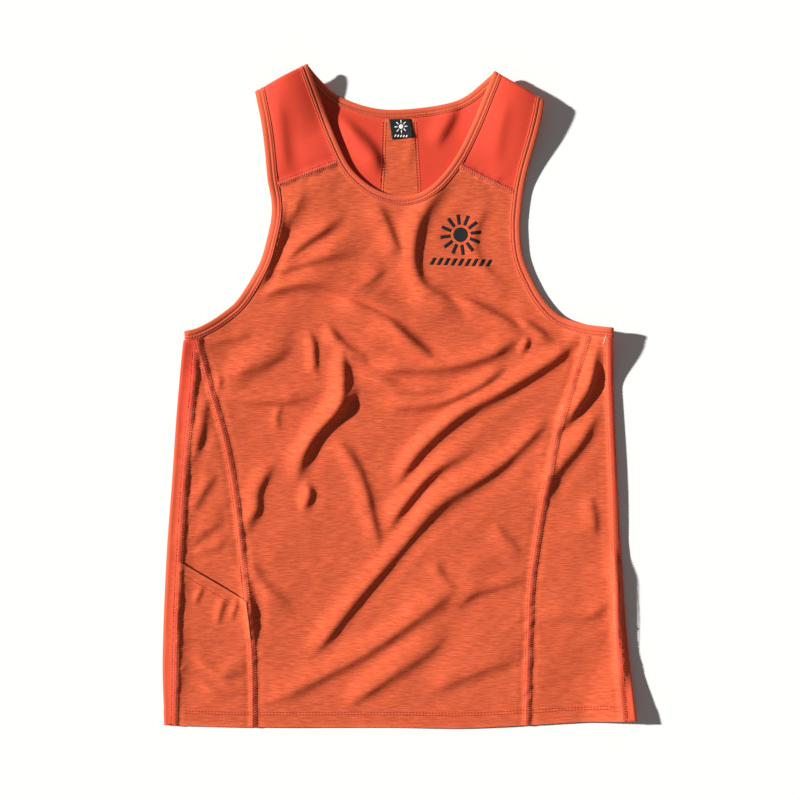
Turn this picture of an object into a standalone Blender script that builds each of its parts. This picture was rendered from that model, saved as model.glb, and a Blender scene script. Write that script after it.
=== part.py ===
"""Running singlet laid flat, front up: neck towards +Y, hem towards -Y, resting on z = 0.

Tables are in millimetres. Each cut piece is one closed thin wall. The two back side pieces are
drawn unfolded and then turned over the side folds and over the shoulders.
"""

import math

import bmesh
import bpy
import numpy as np
from mathutils.geometry import delaunay_2d_cdt

MM = 0.001
CLOTH = 1.2
BINDING_THICK = 2.0
LABEL_THICK = 1.0
NECK_BINDING_WIDTH = 9.5
ARM_BINDING_WIDTH = 10.5
SEAM_GAP = 0.4
LAYER_GAP = 3.4
POCKET_RISE = 2.4
TURN = 5.0
BACK_TUCK = 1.5
SHOULDER_START = 262.0
LIT_SIDE = (-7.0, 4.0)

# Outline of the garment as it lies. Columns: x, y.
LEFT_EDGE = [(-246, -344), (-248, -276), (-244, -171), (-238, -87), (-233, -13), (-228, 39), (-224, 70)]
RIGHT_EDGE = [(248, -338), (242, -279), (237, -227), (234, -176), (230, -108), (227, -45), (225, 13), (223, 73)]
HEM = [(-246, -344), (-152, -346), (-22, -346), (63, -347), (134, -344), (183, -341), (248, -338)]
LEFT_ARMHOLE = [(-224, 70), (-213, 72), (-196, 81), (-181, 92), (-170, 102), (-156, 123), (-145, 144),
                (-139, 165), (-134, 188), (-134, 207), (-138, 228), (-141, 260), (-145, 291), (-151, 320)]
RIGHT_ARMHOLE = [(223, 73), (204, 75), (186, 79), (167, 87), (151, 104), (140, 123), (130, 148),
                 (127, 176), (128, 197), (131, 220), (136, 243), (145, 275), (150, 297), (152, 309)]
FRONT_NECK = [(-95, 347), (-83, 315), (-65, 269), (-49, 239), (-23, 218), (7, 211), (34, 222), (58, 250),
              (77, 287), (91, 321), (99, 340)]
BACK_NECK = [(-95, 347), (-83, 333), (-60, 315), (-17, 303), (34, 306), (66, 314), (87, 329), (99, 340)]

# Seams, from the top down. Columns: x, y.
LEFT_PRINCESS = [(-210.2, 60), (-209, 52), (-197, 7), (-182, -47), (-171, -108), (-161, -198), (-154, -270),
                 (-153, -348)]
LEFT_SIDE = [(-211.2, 60), (-213, 50), (-216, 7), (-223, -58), (-229, -150), (-233, -230), (-236, -348)]
RIGHT_PRINCESS = [(198, 67), (185, 22), (169, -28), (158, -78), (147, -140), (139, -200), (136, -276),
                  (134, -348)]
RIGHT_SIDE = [(218, 65), (220, 28), (222, -26), (224, -72), (227, -176), (229, -255), (236, -348)]
LEFT_CENTRE_BACK = [(-15, 296), (-18, 225), (-30, 0), (-45, -348)]
RIGHT_CENTRE_BACK = [(16, 297), (21, 220), (32, 0), (47, -348)]

# The front yoke seams run from the armhole to the neck. Columns: height at the armhole, at the neck.
LEFT_YOKE = (224, 247)
RIGHT_YOKE = (216, 243)

# The pocket on the wearer's right: its mouth, from the side seam to the princess seam, and its floor.
POCKET_MOUTH = (-172, -214)
POCKET_FLOOR = -255

# Neck label. Columns: x, y of each corner.
LABEL = [(-10.5, 292.3), (12.1, 292.9), (15.4, 273.4), (-7.4, 271.4)]

# Where the garment stands off the table. Columns: name, x, y, reach along x, reach along y, rise of
# both layers, extra space between them.
LIFTS = [
    ("left shoulder", -112, 356, 58, 92, 21, 1.0),
    ("left strap", -80, 290, 40, 84, 0, 2.5),
    ("right shoulder", 128, 342, 82, 130, 18, 3.0),
    ("left armhole corner", -232, 72, 62, 66, 5, 3.0),
    ("right armhole corner", 234, 78, 66, 70, 14, 6.0),
    ("right side", 242, -60, 34, 190, 2, 2.5),
    ("right low side", 250, -215, 32, 95, 5, 1.0),
    ("right hem corner", 254, -346, 66, 96, 9, 4.0),
    ("left side", -246, -150, 30, 220, 0, 3.0),
]

# Largest folds of the front: the line of shade beside each crest. Columns: name, four points, height,
# half width.
FOLDS = [
    ("deep left", (-106, -92), (-90, -56), (-60, -14), (-53, 54), 10, 12),
    ("upper diagonal", (3, -92), (36, -50), (97, -5), (190, 54), 9, 12),
    ("lower diagonal", (-88, -272), (-15, -186), (54, -113), (148, -38), 9.5, 12),
    ("middle short", (-11, -146), (14, -113), (41, -83), (77, -58), 6, 9),
    ("middle upright", (-18, -160), (-21, -127), (-33, -85), (-62, -40), 5, 10),
    ("chest right", (56, 102), (27, 130), (25, 172), (66, 228), 6.5, 10),
    ("right panel", (165, -50), (189, -13), (206, 16), (214, 58), 8, 10),
    ("right panel low", (157, -122), (164, -88), (189, -54), (213, -8), 6, 9),
    ("waist long", (-40, 29), (30, 27), (90, 41), (134, 66), 7.5, 10),
    ("waist third", (-32, -4), (18, -13), (68, -3), (118, 36), 6, 9),
    ("centre slope", (42, 42), (14, 66), (-16, 90), (-56, 106), 6, 10),
    ("left upper", (-180, 14), (-154, 27), (-133, 38), (-108, 55), 4.5, 10),
    ("left shoulder chest", (-129, 148), (-116, 178), (-103, 202), (-94, 224), 4, 10),
    ("under right arm", (50, 98), (85, 89), (106, 82), (134, 68), 6.5, 9),
    ("right arm corner", (118, 80), (138, 71), (151, 63), (166, 52), 5.5, 8),
    ("beside pocket", (-147, -268), (-147, -242), (-150, -214), (-158, -178), 5.5, 9),
    ("lower long", (-138, -318), (-66, -290), (4, -251), (64, -205), 5, 12),
    ("lower short", (-54, -326), (-15, -302), (17, -281), (54, -251), 4, 10),
]

ORANGE = (0.80, 0.18, 0.075, 1.0)
RED = (0.76, 0.09, 0.05, 1.0)
BLACK = (0.02, 0.02, 0.022, 1.0)


def smooth_curve(rows, step):
    """Points about one step apart on a smooth curve through the rows."""
    rows = np.array(rows, float)
    ends = np.vstack([2 * rows[0] - rows[1], rows, 2 * rows[-1] - rows[-2]])
    found = [rows[:1]]
    for i in range(len(rows) - 1):
        a, b, c, d = ends[i : i + 4]
        count = max(1, int(round(np.linalg.norm(c - b) / step)))
        t = (np.arange(count)[:, None] + 1) / count
        slope_in, slope_out = (c - a) / 2, (d - b) / 2
        found.append(
            (2 * t**3 - 3 * t**2 + 1) * b + (t**3 - 2 * t**2 + t) * slope_in
            + (-2 * t**3 + 3 * t**2) * c + (t**3 - t**2) * slope_out
        )
    return np.vstack(found)


def moved_in(curve, width, towards):
    """The curve moved sideways by the width, to the side on which the given point lies."""
    along = np.gradient(curve, axis=0)
    along /= np.linalg.norm(along, axis=1)[:, None]
    across = np.stack([-along[:, 1], along[:, 0]], axis=1)
    middle = len(curve) // 2
    if np.dot(across[middle], np.array(towards) - curve[middle]) < 0:
        across = -across
    return curve + across * width


def across_between(curve, low, high):
    """The part of a curve between two x, with its ends put exactly on them, from low to high."""
    curve = curve[np.argsort(curve[:, 0])]
    middle = curve[(curve[:, 0] > low + 2) & (curve[:, 0] < high - 2)]
    return np.vstack([[low, y_at(curve, low)], middle, [high, y_at(curve, high)]])


def x_at(curve, y):
    order = np.argsort(curve[:, 1])
    return np.interp(y, curve[order, 1], curve[order, 0])


def y_at(curve, x):
    order = np.argsort(curve[:, 0])
    return np.interp(x, curve[order, 0], curve[order, 1])


LEFT_LINE = smooth_curve(LEFT_EDGE, 12)
RIGHT_LINE = smooth_curve(RIGHT_EDGE, 12)
HEM_LINE = smooth_curve(HEM, 14)


def edge_line(side, y):
    """x of the side fold: side is -1 on the left, 1 on the right."""
    return x_at(LEFT_LINE if side < 0 else RIGHT_LINE, y)


def bump(x, y, row):
    share = 1 - ((x - row[1]) / row[3]) ** 2 - ((y - row[2]) / row[4]) ** 2
    return np.clip(share, 0, None) ** 2


def back_height(x, y):
    """Height of the middle of the back layer."""
    return CLOTH / 2 + sum(bump(x, y, row) * row[5] for row in LIFTS)


def fold_line(row):
    return smooth_curve(row[1:5], 12) + np.array(LIT_SIDE)


FOLD_LINES = [(fold_line(row), row[5], row[6]) for row in FOLDS]


def fold_height(x, y):
    """Height that the folds add to the front layer."""
    total = np.zeros_like(x)
    for line, height, width in FOLD_LINES:
        nearest = np.full_like(x, 1e9)
        place = np.zeros_like(x)
        for i in range(len(line) - 1):
            start, run = line[i], line[i + 1] - line[i]
            t = np.clip(((x - start[0]) * run[0] + (y - start[1]) * run[1]) / (run @ run), 0, 1)
            away = np.hypot(x - start[0] - t * run[0], y - start[1] - t * run[1])
            place = np.where(away < nearest, (i + t) / (len(line) - 1), place)
            nearest = np.minimum(nearest, away)
        fade = np.sin(math.pi * np.clip(place, 0.06, 0.94)) ** 0.6
        total = np.maximum(total, height * fade * np.exp(-((nearest / width) ** 2)))
    return total


def front_height(x, y):
    """Height of the middle of the front layer. Folds die out towards the side folds and the neck."""
    puff = sum(bump(x, y, row) * row[6] for row in LIFTS)
    from_sides = np.minimum(x - edge_line(-1, y), edge_line(1, y) - x)
    calm = np.clip((from_sides - 4) / 22, 0, 1)
    return back_height(x, y) + LAYER_GAP + puff + fold_height(x, y) * calm * calm * (3 - 2 * calm)


def front_surface(points):
    x, y = points.T
    return np.stack([x, y, front_height(x, y)], axis=1)


def back_surface(points):
    x, y = points.T
    return np.stack([x, y, back_height(x, y)], axis=1)


def pocket_surface(points):
    x, y = points.T
    return np.stack([x, y, front_height(x, y) + POCKET_RISE], axis=1)


def label_surface(points):
    x, y = points.T
    return np.stack([x, y, back_height(x, y) + CLOTH / 2 + 0.3 + LABEL_THICK / 2], axis=1)


def shoulder_line(side):
    """Neck end, unit vector towards the armhole, and unit vector outwards, of a shoulder's fold."""
    neck = np.array(FRONT_NECK[0] if side < 0 else FRONT_NECK[-1], float)
    arm = np.array(LEFT_ARMHOLE[-1] if side < 0 else RIGHT_ARMHOLE[-1], float)
    along = (arm - neck) / np.linalg.norm(arm - neck)
    out = np.array([-along[1], along[0]]) * (1 if side > 0 else -1)
    return neck, along, out


def inward(beyond):
    """Distance inside the line of a turn of a point that lies this far beyond it when unfolded."""
    return np.where(np.abs(beyond) < TURN, beyond**2 / (2 * TURN) + TURN / 2, np.abs(beyond))


def upper_share(beyond):
    """0 on the back layer, 1 on the front layer, between them in the turn."""
    return (1 + np.sin(math.pi / 2 * np.clip(beyond / TURN, -1, 1))) / 2


def layered(x, y, share):
    low = back_height(x, y)
    return low + (front_height(x, y) - low) * share


def wrapped_surface(side):
    """Takes an unfolded back side piece to its place, over the side fold and over the shoulder."""
    neck, along, out = shoulder_line(side)
    base = neck + out * TURN / 2

    def place(points):
        x, y = points.T
        edge = edge_line(side, y) + side * TURN / 2
        past_side = side * (x - edge)
        past_shoulder = (points - base) @ out
        high = y > SHOULDER_START
        at_side = np.where(past_side > -TURN, edge - side * inward(past_side), x)
        foot = points - past_shoulder[:, None] * out
        at_shoulder = foot - inward(past_shoulder)[:, None] * out
        new_x = np.where(high, at_shoulder[:, 0], at_side)
        new_y = np.where(high, at_shoulder[:, 1], y)
        share = upper_share(np.where(high, past_shoulder, past_side))
        return np.stack([new_x, new_y, layered(new_x, new_y, share)], axis=1)

    return place


def over_side(points, side):
    """Front points beside a side fold, unfolded."""
    edge = edge_line(side, points[:, 1]) + side * TURN / 2
    return np.stack([2 * edge - points[:, 0], points[:, 1]], axis=1)


def over_shoulder(points, side):
    """Front points below a shoulder, unfolded."""
    neck, along, out = shoulder_line(side)
    past = (points - neck - out * TURN / 2) @ out
    return points - 2 * past[:, None] * out


def inside(points, outline):
    """Whether each point lies in the outline, and its distance to it."""
    hit = np.zeros(len(points), bool)
    away = np.full(len(points), 1e9)
    for a, b in zip(outline, np.roll(outline, -1, axis=0)):
        crosses = (a[1] > points[:, 1]) != (b[1] > points[:, 1])
        rise = b[1] - a[1] if b[1] != a[1] else 1.0
        hit ^= crosses & (points[:, 0] < (b[0] - a[0]) * (points[:, 1] - a[1]) / rise + a[0])
        run = b - a
        t = np.clip((points - a) @ run / max(run @ run, 1e-9), 0, 1)
        away = np.minimum(away, np.linalg.norm(points - a - t[:, None] * run, axis=1))
    return hit, away


def spread(outline, step, features):
    """Points inside the outline: the feature points first, then a grid that keeps clear of them."""
    low, high = outline.min(axis=0), outline.max(axis=0)
    across = np.arange(low[0] + step / 2, high[0], step)
    up = np.arange(low[1] + step / 2, high[1], step)
    grid = np.array([(x + (row % 2) * step / 2, y) for row, y in enumerate(up) for x in across])
    kept = []
    for points, clear in ((features, 5.5), (grid, step * 0.62)):
        if not len(points):
            continue
        hit, away = inside(points, outline)
        for point in points[hit & (away > min(clear, 6.0))]:
            if not kept or np.min(np.linalg.norm(np.array(kept) - point, axis=1)) > clear:
                kept.append(point)
    return np.array(kept).reshape(-1, 2)


def fold_features():
    """Points on the crest and the foot of every fold."""
    found = []
    for line, _, width in FOLD_LINES:
        for offset in (0.0, -1.3 * width, 1.3 * width):
            along = np.gradient(line, axis=0)
            along /= np.linalg.norm(along, axis=1)[:, None]
            found.append(line + np.stack([-along[:, 1], along[:, 0]], axis=1) * offset)
    return np.vstack(found)


def turn_features(side):
    """Points on the lines of the side turn and of the shoulder turn, unfolded."""
    found = []
    for beyond in np.linspace(-TURN, TURN, 5):
        y = np.arange(-336.0, 60.0, 18.0)
        found.append(np.stack([edge_line(side, y) + side * (TURN / 2 + beyond), y], axis=1))
        neck, along, out = shoulder_line(side)
        steps = np.arange(-10.0, 80.0, 14.0)[:, None]
        found.append(neck + out * (TURN / 2 + beyond) + steps * along)
    return np.vstack(found)


def new_object(name, color, corners, faces):
    mesh = bpy.data.meshes.new(name)
    mesh.from_pydata([tuple(point) for point in corners * MM], [], [tuple(face) for face in faces])
    shape = bmesh.new()
    shape.from_mesh(mesh)
    bmesh.ops.recalc_face_normals(shape, faces=shape.faces[:])
    if shape.calc_volume(signed=True) < 0:
        bmesh.ops.reverse_faces(shape, faces=shape.faces[:])
    shape.to_mesh(mesh)
    shape.free()
    piece = bpy.data.objects.new(name, mesh)
    bpy.context.scene.collection.objects.link(piece)
    material = bpy.data.materials.new(name)
    material.use_nodes = True
    shader = material.node_tree.nodes["Principled BSDF"]
    shader.inputs["Base Color"].default_value = color
    shader.inputs["Roughness"].default_value = 0.85
    material.diffuse_color = color
    mesh.materials.append(material)
    return piece


def cut_piece(name, color, outline, surface, step, features=np.zeros((0, 2)), thick=CLOTH):
    """A closed wall of even thickness over the outline, carried by the surface."""
    inner = spread(outline, step, features)
    flat = np.vstack([outline, inner])
    loop = list(range(len(outline)))
    points, _, triangles, _, _, _ = delaunay_2d_cdt([tuple(p) for p in flat], [], [loop], 1, 1e-4)
    flat = np.array([tuple(p) for p in points])
    triangles = np.array(triangles)
    reach = 0.6
    right, up = np.array([reach, 0]), np.array([0, reach])
    along = surface(flat + right) - surface(flat - right)
    across = surface(flat + up) - surface(flat - up)
    normal = np.cross(along, across)
    normal /= np.linalg.norm(normal, axis=1)[:, None]
    middle = surface(flat)
    corners = np.vstack([middle + normal * thick / 2, middle - normal * thick / 2])
    count = len(flat)
    edges = {}
    for a, b, c in triangles:
        for pair in ((a, b), (b, c), (c, a)):
            edges[tuple(sorted(pair))] = None if tuple(sorted(pair)) in edges else pair
    faces = [(a, b, c) for a, b, c in triangles]
    faces += [(c + count, b + count, a + count) for a, b, c in triangles]
    faces += [(b, a, a + count, b + count) for a, b in filter(None, edges.values())]
    return new_object(name, color, corners, faces)


def binding(name, color, outer, inner):
    """A closed loop with a four-sided section, from its outer and inner edge in space."""
    ahead = np.roll(outer, -1, axis=0) + np.roll(inner, -1, axis=0)
    behind = np.roll(outer, 1, axis=0) + np.roll(inner, 1, axis=0)
    normal = np.cross(ahead - behind, inner - outer)
    normal /= np.linalg.norm(normal, axis=1)[:, None]
    rise = normal * BINDING_THICK / 2
    rings = [outer + rise, inner + rise, inner - rise, outer - rise]
    count = len(outer)
    corners = np.vstack(rings)
    faces = []
    for i in range(count):
        j = (i + 1) % count
        for k in range(4):
            m = (k + 1) % 4
            faces.append((k * count + i, k * count + j, m * count + j, m * count + i))
    return new_object(name, color, corners, faces)


def turn_stations(corner, along, out, width):
    """Outer and inner edge, with their layer share, where a binding goes over a turn."""
    beyond = np.linspace(TURN, -TURN, 5)
    base = np.array(corner, float) + np.array(out) * TURN / 2
    outer = base - inward(beyond)[:, None] * np.array(out)
    return outer, outer + np.array(along) * width, upper_share(beyond)


def clear_of_turns(curve, turns):
    """Which points of a curve lie clear of every turn, each given by a corner and its way out."""
    clear = np.ones(len(curve), bool)
    for corner, out in turns:
        clear &= (np.array(corner) - curve) @ np.array(out) > TURN + 2
    return clear


def turn_outline(corner, along, out, width):
    """Unfolded points where a piece's edge follows a binding over a turn, from front to back."""
    beyond = np.linspace(TURN, -TURN, 5)[:, None] + TURN / 2
    return np.array(corner, float) + np.array(along) * width + beyond * np.array(out)


def joined(parts):
    """Outer and inner edges in space from (outer, inner, share) parts in the plane."""
    outer = np.vstack([part[0] for part in parts])
    inner = np.vstack([part[1] for part in parts])
    share = np.concatenate([np.broadcast_to(part[2], len(part[0])) for part in parts])
    rise = (BINDING_THICK - CLOTH) / 2
    high_outer = layered(outer[:, 0], outer[:, 1], share) + rise
    high_inner = layered(inner[:, 0], inner[:, 1], share) + rise
    return np.column_stack([outer, high_outer]), np.column_stack([inner, high_inner])


def armhole_curves(side):
    """Front and back edge of an armhole, from the side up, and a point in the cloth beside them."""
    front = smooth_curve(LEFT_ARMHOLE if side < 0 else RIGHT_ARMHOLE, 11)
    cloth = (0, 150)
    return front, moved_in(front, BACK_TUCK, cloth), cloth


def armhole_binding(side, name):
    front, back, cloth = armhole_curves(side)
    neck, along, out = shoulder_line(side)
    arm, corner = front[-1], front[0]
    side_out = (side, 0)
    width = ARM_BINDING_WIDTH
    parts = []
    for curve, share in ((front, 1.0), (back, 0.0)):
        clear = clear_of_turns(curve, ((arm, out), (corner, side_out)))
        parts.append((curve[clear], moved_in(curve, width, cloth)[clear], share))
    over = turn_stations(arm, -along, out, width)
    under = turn_stations(corner, (0, -1), side_out, width)
    down = (parts[1][0][::-1], parts[1][1][::-1], 0.0)
    round_side = tuple(values[::-1] for values in under)
    binding(name, ORANGE, *joined([parts[0], over, down, round_side]))


def neck_binding():
    front, back = smooth_curve(FRONT_NECK, 11), smooth_curve(BACK_NECK, 11)
    parts = []
    for curve, share in ((front, 1.0), (back, 0.0)):
        clear = clear_of_turns(curve, [shoulder_line(side)[::2] for side in (-1, 1)])
        parts.append((curve[clear], moved_in(curve, NECK_BINDING_WIDTH, (0, 0))[clear], share))
    turns = []
    for side in (1, -1):
        neck, along, out = shoulder_line(side)
        turns.append(turn_stations(neck, along, out, NECK_BINDING_WIDTH))
    back_way = (parts[1][0][::-1], parts[1][1][::-1], 0.0)
    up_again = tuple(values[::-1] for values in turns[1])
    binding("neck_binding", ORANGE, *joined([parts[0], turns[0], back_way, up_again]))


def between(curve, low, high):
    """The part of a curve between two heights, with its ends put exactly on them, from low to high."""
    order = np.argsort(curve[:, 1])
    curve = curve[order]
    middle = curve[(curve[:, 1] > low + 2) & (curve[:, 1] < high - 2)]
    return np.vstack([[x_at(curve, low), low], middle, [x_at(curve, high), high]])


def seam(rows, shift, low, high):
    return between(smooth_curve(rows, 14) + np.array([shift, 0]), low, high)


def hem_between(left, right):
    """The hem from left to right, ends excluded."""
    line = HEM_LINE
    return line[(line[:, 0] > left + 4) & (line[:, 0] < right - 4)]


def hem_corner(rows, shift):
    """Where a seam meets the hem."""
    curve = smooth_curve(rows, 14)
    low = y_at(HEM_LINE, curve[-1, 0])
    return np.array([x_at(curve, low) + shift, low])


def straight(a, b, step=12):
    count = max(1, int(np.linalg.norm(np.array(b) - np.array(a)) / step))
    return np.linspace(a, b, count + 1)[1:-1]


def neck_scoop(width, left_height, right_height):
    """Front neck edge moved in by the width, from left to right, cut off at the two heights."""
    inner = moved_in(smooth_curve(FRONT_NECK, 11), width, (0, 0))
    left, right = inner[inner[:, 0] < 0], inner[inner[:, 0] > 0]
    low_left, low_right = left[left[:, 1] < left_height - 2], right[right[:, 1] < right_height - 2]
    start = [x_at(left, left_height), left_height]
    end = [x_at(right, right_height), right_height]
    return np.vstack([[start], low_left, low_right, [end]])


def front_centre(gap):
    half = gap / 2
    left_arm = moved_in(armhole_curves(-1)[0], ARM_BINDING_WIDTH + gap, (0, 150))
    right_arm = moved_in(armhole_curves(1)[0], ARM_BINDING_WIDTH + gap, (0, 150))
    neck = neck_scoop(NECK_BINDING_WIDTH + gap, LEFT_YOKE[1] - half, RIGHT_YOKE[1] - half)[::-1]
    left_low = hem_corner(LEFT_PRINCESS, half)
    right_low = hem_corner(RIGHT_PRINCESS, -half)
    left_top = y_at(left_arm, LEFT_PRINCESS[0][0])
    right_top = y_at(right_arm, RIGHT_PRINCESS[0][0])
    right_seam = seam(RIGHT_PRINCESS, -half, right_low[1], right_top)
    left_seam = seam(LEFT_PRINCESS, half, left_low[1], left_top)
    arm_up = between(right_arm, right_top, RIGHT_YOKE[0] - half)[1:]
    arm_down = between(left_arm, left_top, LEFT_YOKE[0] - half)[::-1]
    outline = np.vstack([
        hem_between(left_low[0], right_low[0]), right_seam, arm_up, straight(arm_up[-1], neck[0]),
        neck, straight(neck[-1], arm_down[0]), arm_down[:-1], left_seam[::-1],
    ])
    cut_piece("front_centre", ORANGE, outline, front_surface, 16, fold_features())


def side_fronts(gap):
    half = gap / 2
    right_arm = moved_in(armhole_curves(1)[0], ARM_BINDING_WIDTH + gap, (0, 150))
    a, b = hem_corner(RIGHT_PRINCESS, half), hem_corner(RIGHT_SIDE, -half)
    top_a = y_at(right_arm, RIGHT_PRINCESS[0][0] + half)
    top_b = y_at(right_arm, RIGHT_SIDE[0][0] - half)
    outline = np.vstack([
        hem_between(a[0], b[0]), seam(RIGHT_SIDE, -half, b[1], top_b),
        seam(RIGHT_PRINCESS, half, a[1], top_a)[::-1],
    ])
    cut_piece("side_front_right", ORANGE, outline, front_surface, 16, fold_features())
    outer = seam(LEFT_SIDE, half, POCKET_FLOOR, LEFT_PRINCESS[1][1])
    inner = seam(LEFT_PRINCESS, -half, POCKET_FLOOR, LEFT_PRINCESS[1][1])
    outline = np.vstack([straight(outer[0], inner[0]), inner, outer[::-1]])
    cut_piece("side_front_left", ORANGE, outline, front_surface, 16, fold_features())
    a, b = hem_corner(LEFT_SIDE, half), hem_corner(LEFT_PRINCESS, -half)
    outer = seam(LEFT_SIDE, half, a[1], POCKET_MOUTH[0])
    inner = seam(LEFT_PRINCESS, -half, b[1], POCKET_MOUTH[1])
    outline = np.vstack([
        hem_between(a[0], b[0]), inner, straight(inner[-1], outer[-1]), outer[::-1],
    ])
    cut_piece("pocket_front_left", ORANGE, outline, pocket_surface, 16, fold_features())


def back_side(side, name, gap):
    half = gap / 2
    arm_width, neck_width = ARM_BINDING_WIDTH + gap, NECK_BINDING_WIDTH + gap
    point, along, out = shoulder_line(side)
    arm_edge, back_arm_edge, cloth = armhole_curves(side)
    arm, corner = arm_edge[-1], arm_edge[0]
    arm_turns = ((arm, out), (corner, (side, 0)))
    front_arm = moved_in(arm_edge, arm_width, cloth)
    back_arm = moved_in(back_arm_edge, arm_width, cloth)[clear_of_turns(back_arm_edge, arm_turns)]
    neck_edge = smooth_curve(FRONT_NECK, 11)
    neck = moved_in(neck_edge, neck_width, (0, 0))[clear_of_turns(neck_edge, ((point, out),))]
    back_edge = smooth_curve(BACK_NECK, 11)
    back_neck = moved_in(back_edge, neck_width, (0, 0))
    yoke = LEFT_YOKE if side < 0 else RIGHT_YOKE
    side_rows = LEFT_SIDE if side < 0 else RIGHT_SIDE
    centre_rows = LEFT_CENTRE_BACK if side < 0 else RIGHT_CENTRE_BACK
    low_side = hem_corner(side_rows, side * half)
    low_centre = hem_corner(centre_rows, side * half)
    top_side = y_at(front_arm, side_rows[0][0])
    front_side = over_side(seam(side_rows, side * half, low_side[1], top_side), side)
    hem = hem_between(-239, 239)
    hem = hem[side * hem[:, 0] > side * low_centre[0] + 4]
    if side < 0:
        hem = hem[::-1]
    hem_end = HEM_LINE[0 if side < 0 else -1]
    hem_turn = turn_outline(hem_end, (0, 0), (side, 0), 0)[::-1]
    over_corner = turn_outline(corner, (0, -1), (side, 0), arm_width + gap)
    over_arm = turn_outline(arm, -along, out, arm_width)
    over_neck = turn_outline(point, along, out, neck_width)
    by_corner = front_arm[clear_of_turns(arm_edge, arm_turns)]
    by_corner = over_side(by_corner[side * (by_corner[:, 0] - side_rows[0][0]) > 1.5], side)[::-1]
    front_arm = front_arm[clear_of_turns(arm_edge, ((arm, out),))]
    front_arm = over_shoulder(between(front_arm, yoke[0] + half, front_arm[-1, 1]), side)[::-1]
    neck = neck[(neck[:, 0] < 0) if side < 0 else (neck[:, 0] > 0)]
    neck = over_shoulder(between(neck, yoke[1] + half, neck[:, 1].max()), side)
    centre_top = x_at(smooth_curve(centre_rows, 14), 294.0) + side * half
    top = np.array([centre_top, y_at(back_neck, centre_top)])
    beside = side * (back_neck[:, 0] - top[0]) > 4
    back_neck = back_neck[beside & clear_of_turns(back_edge, ((point, out),))]
    if side > 0:
        back_neck = back_neck[::-1]
    centre = seam(centre_rows, side * half, low_centre[1], 288.0)
    outline = np.vstack([
        hem, hem_turn, front_side, by_corner, over_corner, back_arm, over_arm[::-1], front_arm,
        straight(front_arm[-1], neck[0]), neck, over_neck, back_neck, [top], centre[::-1],
    ])
    cut_piece(name, RED, outline, wrapped_surface(side), 26, turn_features(side))


def back_centre(gap):
    half = gap / 2
    back_neck = moved_in(smooth_curve(BACK_NECK, 11), NECK_BINDING_WIDTH + gap, (0, 0))
    a, b = hem_corner(LEFT_CENTRE_BACK, half), hem_corner(RIGHT_CENTRE_BACK, -half)
    top_a = x_at(smooth_curve(LEFT_CENTRE_BACK, 14), 294.0) + half
    top_b = x_at(smooth_curve(RIGHT_CENTRE_BACK, 14), 294.0) - half
    outline = np.vstack([
        hem_between(a[0], b[0]), seam(RIGHT_CENTRE_BACK, -half, b[1], 288.0),
        across_between(back_neck, top_a, top_b)[::-1],
        seam(LEFT_CENTRE_BACK, half, a[1], 288.0)[::-1],
    ])
    cut_piece("back_centre", ORANGE, outline, back_surface, 26)


def clear_scene():
    for item in list(bpy.data.objects):
        bpy.data.objects.remove(item, do_unlink=True)


def main():
    clear_scene()
    front_centre(SEAM_GAP)
    side_fronts(SEAM_GAP)
    back_side(-1, "back_left", SEAM_GAP)
    back_side(1, "back_right", SEAM_GAP)
    back_centre(SEAM_GAP)
    neck_binding()
    armhole_binding(-1, "armhole_binding_left")
    armhole_binding(1, "armhole_binding_right")
    cut_piece("neck_label", BLACK, np.array(LABEL, float), label_surface, 30, thick=LABEL_THICK)


main()
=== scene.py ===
"""Running singlet laid flat, front up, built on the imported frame. Tables are in millimetres."""

import math

import bmesh
import bpy
import numpy as np
from mathutils.geometry import delaunay_2d_cdt
from mathutils.kdtree import KDTree
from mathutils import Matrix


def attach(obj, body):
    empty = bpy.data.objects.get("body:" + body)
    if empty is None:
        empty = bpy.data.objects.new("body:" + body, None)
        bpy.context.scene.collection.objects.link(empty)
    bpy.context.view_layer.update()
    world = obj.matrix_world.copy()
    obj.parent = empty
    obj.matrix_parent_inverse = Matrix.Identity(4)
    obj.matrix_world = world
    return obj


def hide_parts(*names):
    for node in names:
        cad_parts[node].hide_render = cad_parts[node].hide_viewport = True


bl_info = {
    "name": "Running singlet",
    "version": (1, 0, 0),
    "blender": (4, 5, 0),
    "location": "3D View > Sidebar > Singlet",
    "description": "Makes a laid running singlet: panels, bindings, seams, label and chest motif",
    "category": "Object",
}

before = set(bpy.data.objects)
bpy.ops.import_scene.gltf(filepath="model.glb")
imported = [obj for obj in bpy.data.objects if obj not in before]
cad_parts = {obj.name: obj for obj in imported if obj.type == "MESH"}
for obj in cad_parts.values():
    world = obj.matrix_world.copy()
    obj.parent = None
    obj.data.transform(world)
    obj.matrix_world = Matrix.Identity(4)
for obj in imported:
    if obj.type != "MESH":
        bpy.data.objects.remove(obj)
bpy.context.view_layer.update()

MM = 0.001
BODY = "root"

# The lie of the cloth.
TURN = 5.0  # reach of a turn over a side or a shoulder
LAYER_GAP = 3.4  # from the middle of the back layer to that of the front
BACK_MIDDLE = 0.6  # height of the middle of the back layer
BACK_TUCK = 1.5  # how far the back's armhole lies inside the front's
SHOULDER_START = 262.0  # y above which a back piece turns over the shoulder, not the side
CLOTH_SIDE = (0, 150)  # a point inside the garment, seen from either armhole
LOWEST_FOLD = -1.1  # how far a trough may sink below the front layer
FLOOR_SHARPNESS = 1.6  # how abruptly it stops there
FOLD_STRETCH = 0.35  # how much the knit's pattern follows a fold's height

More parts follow.
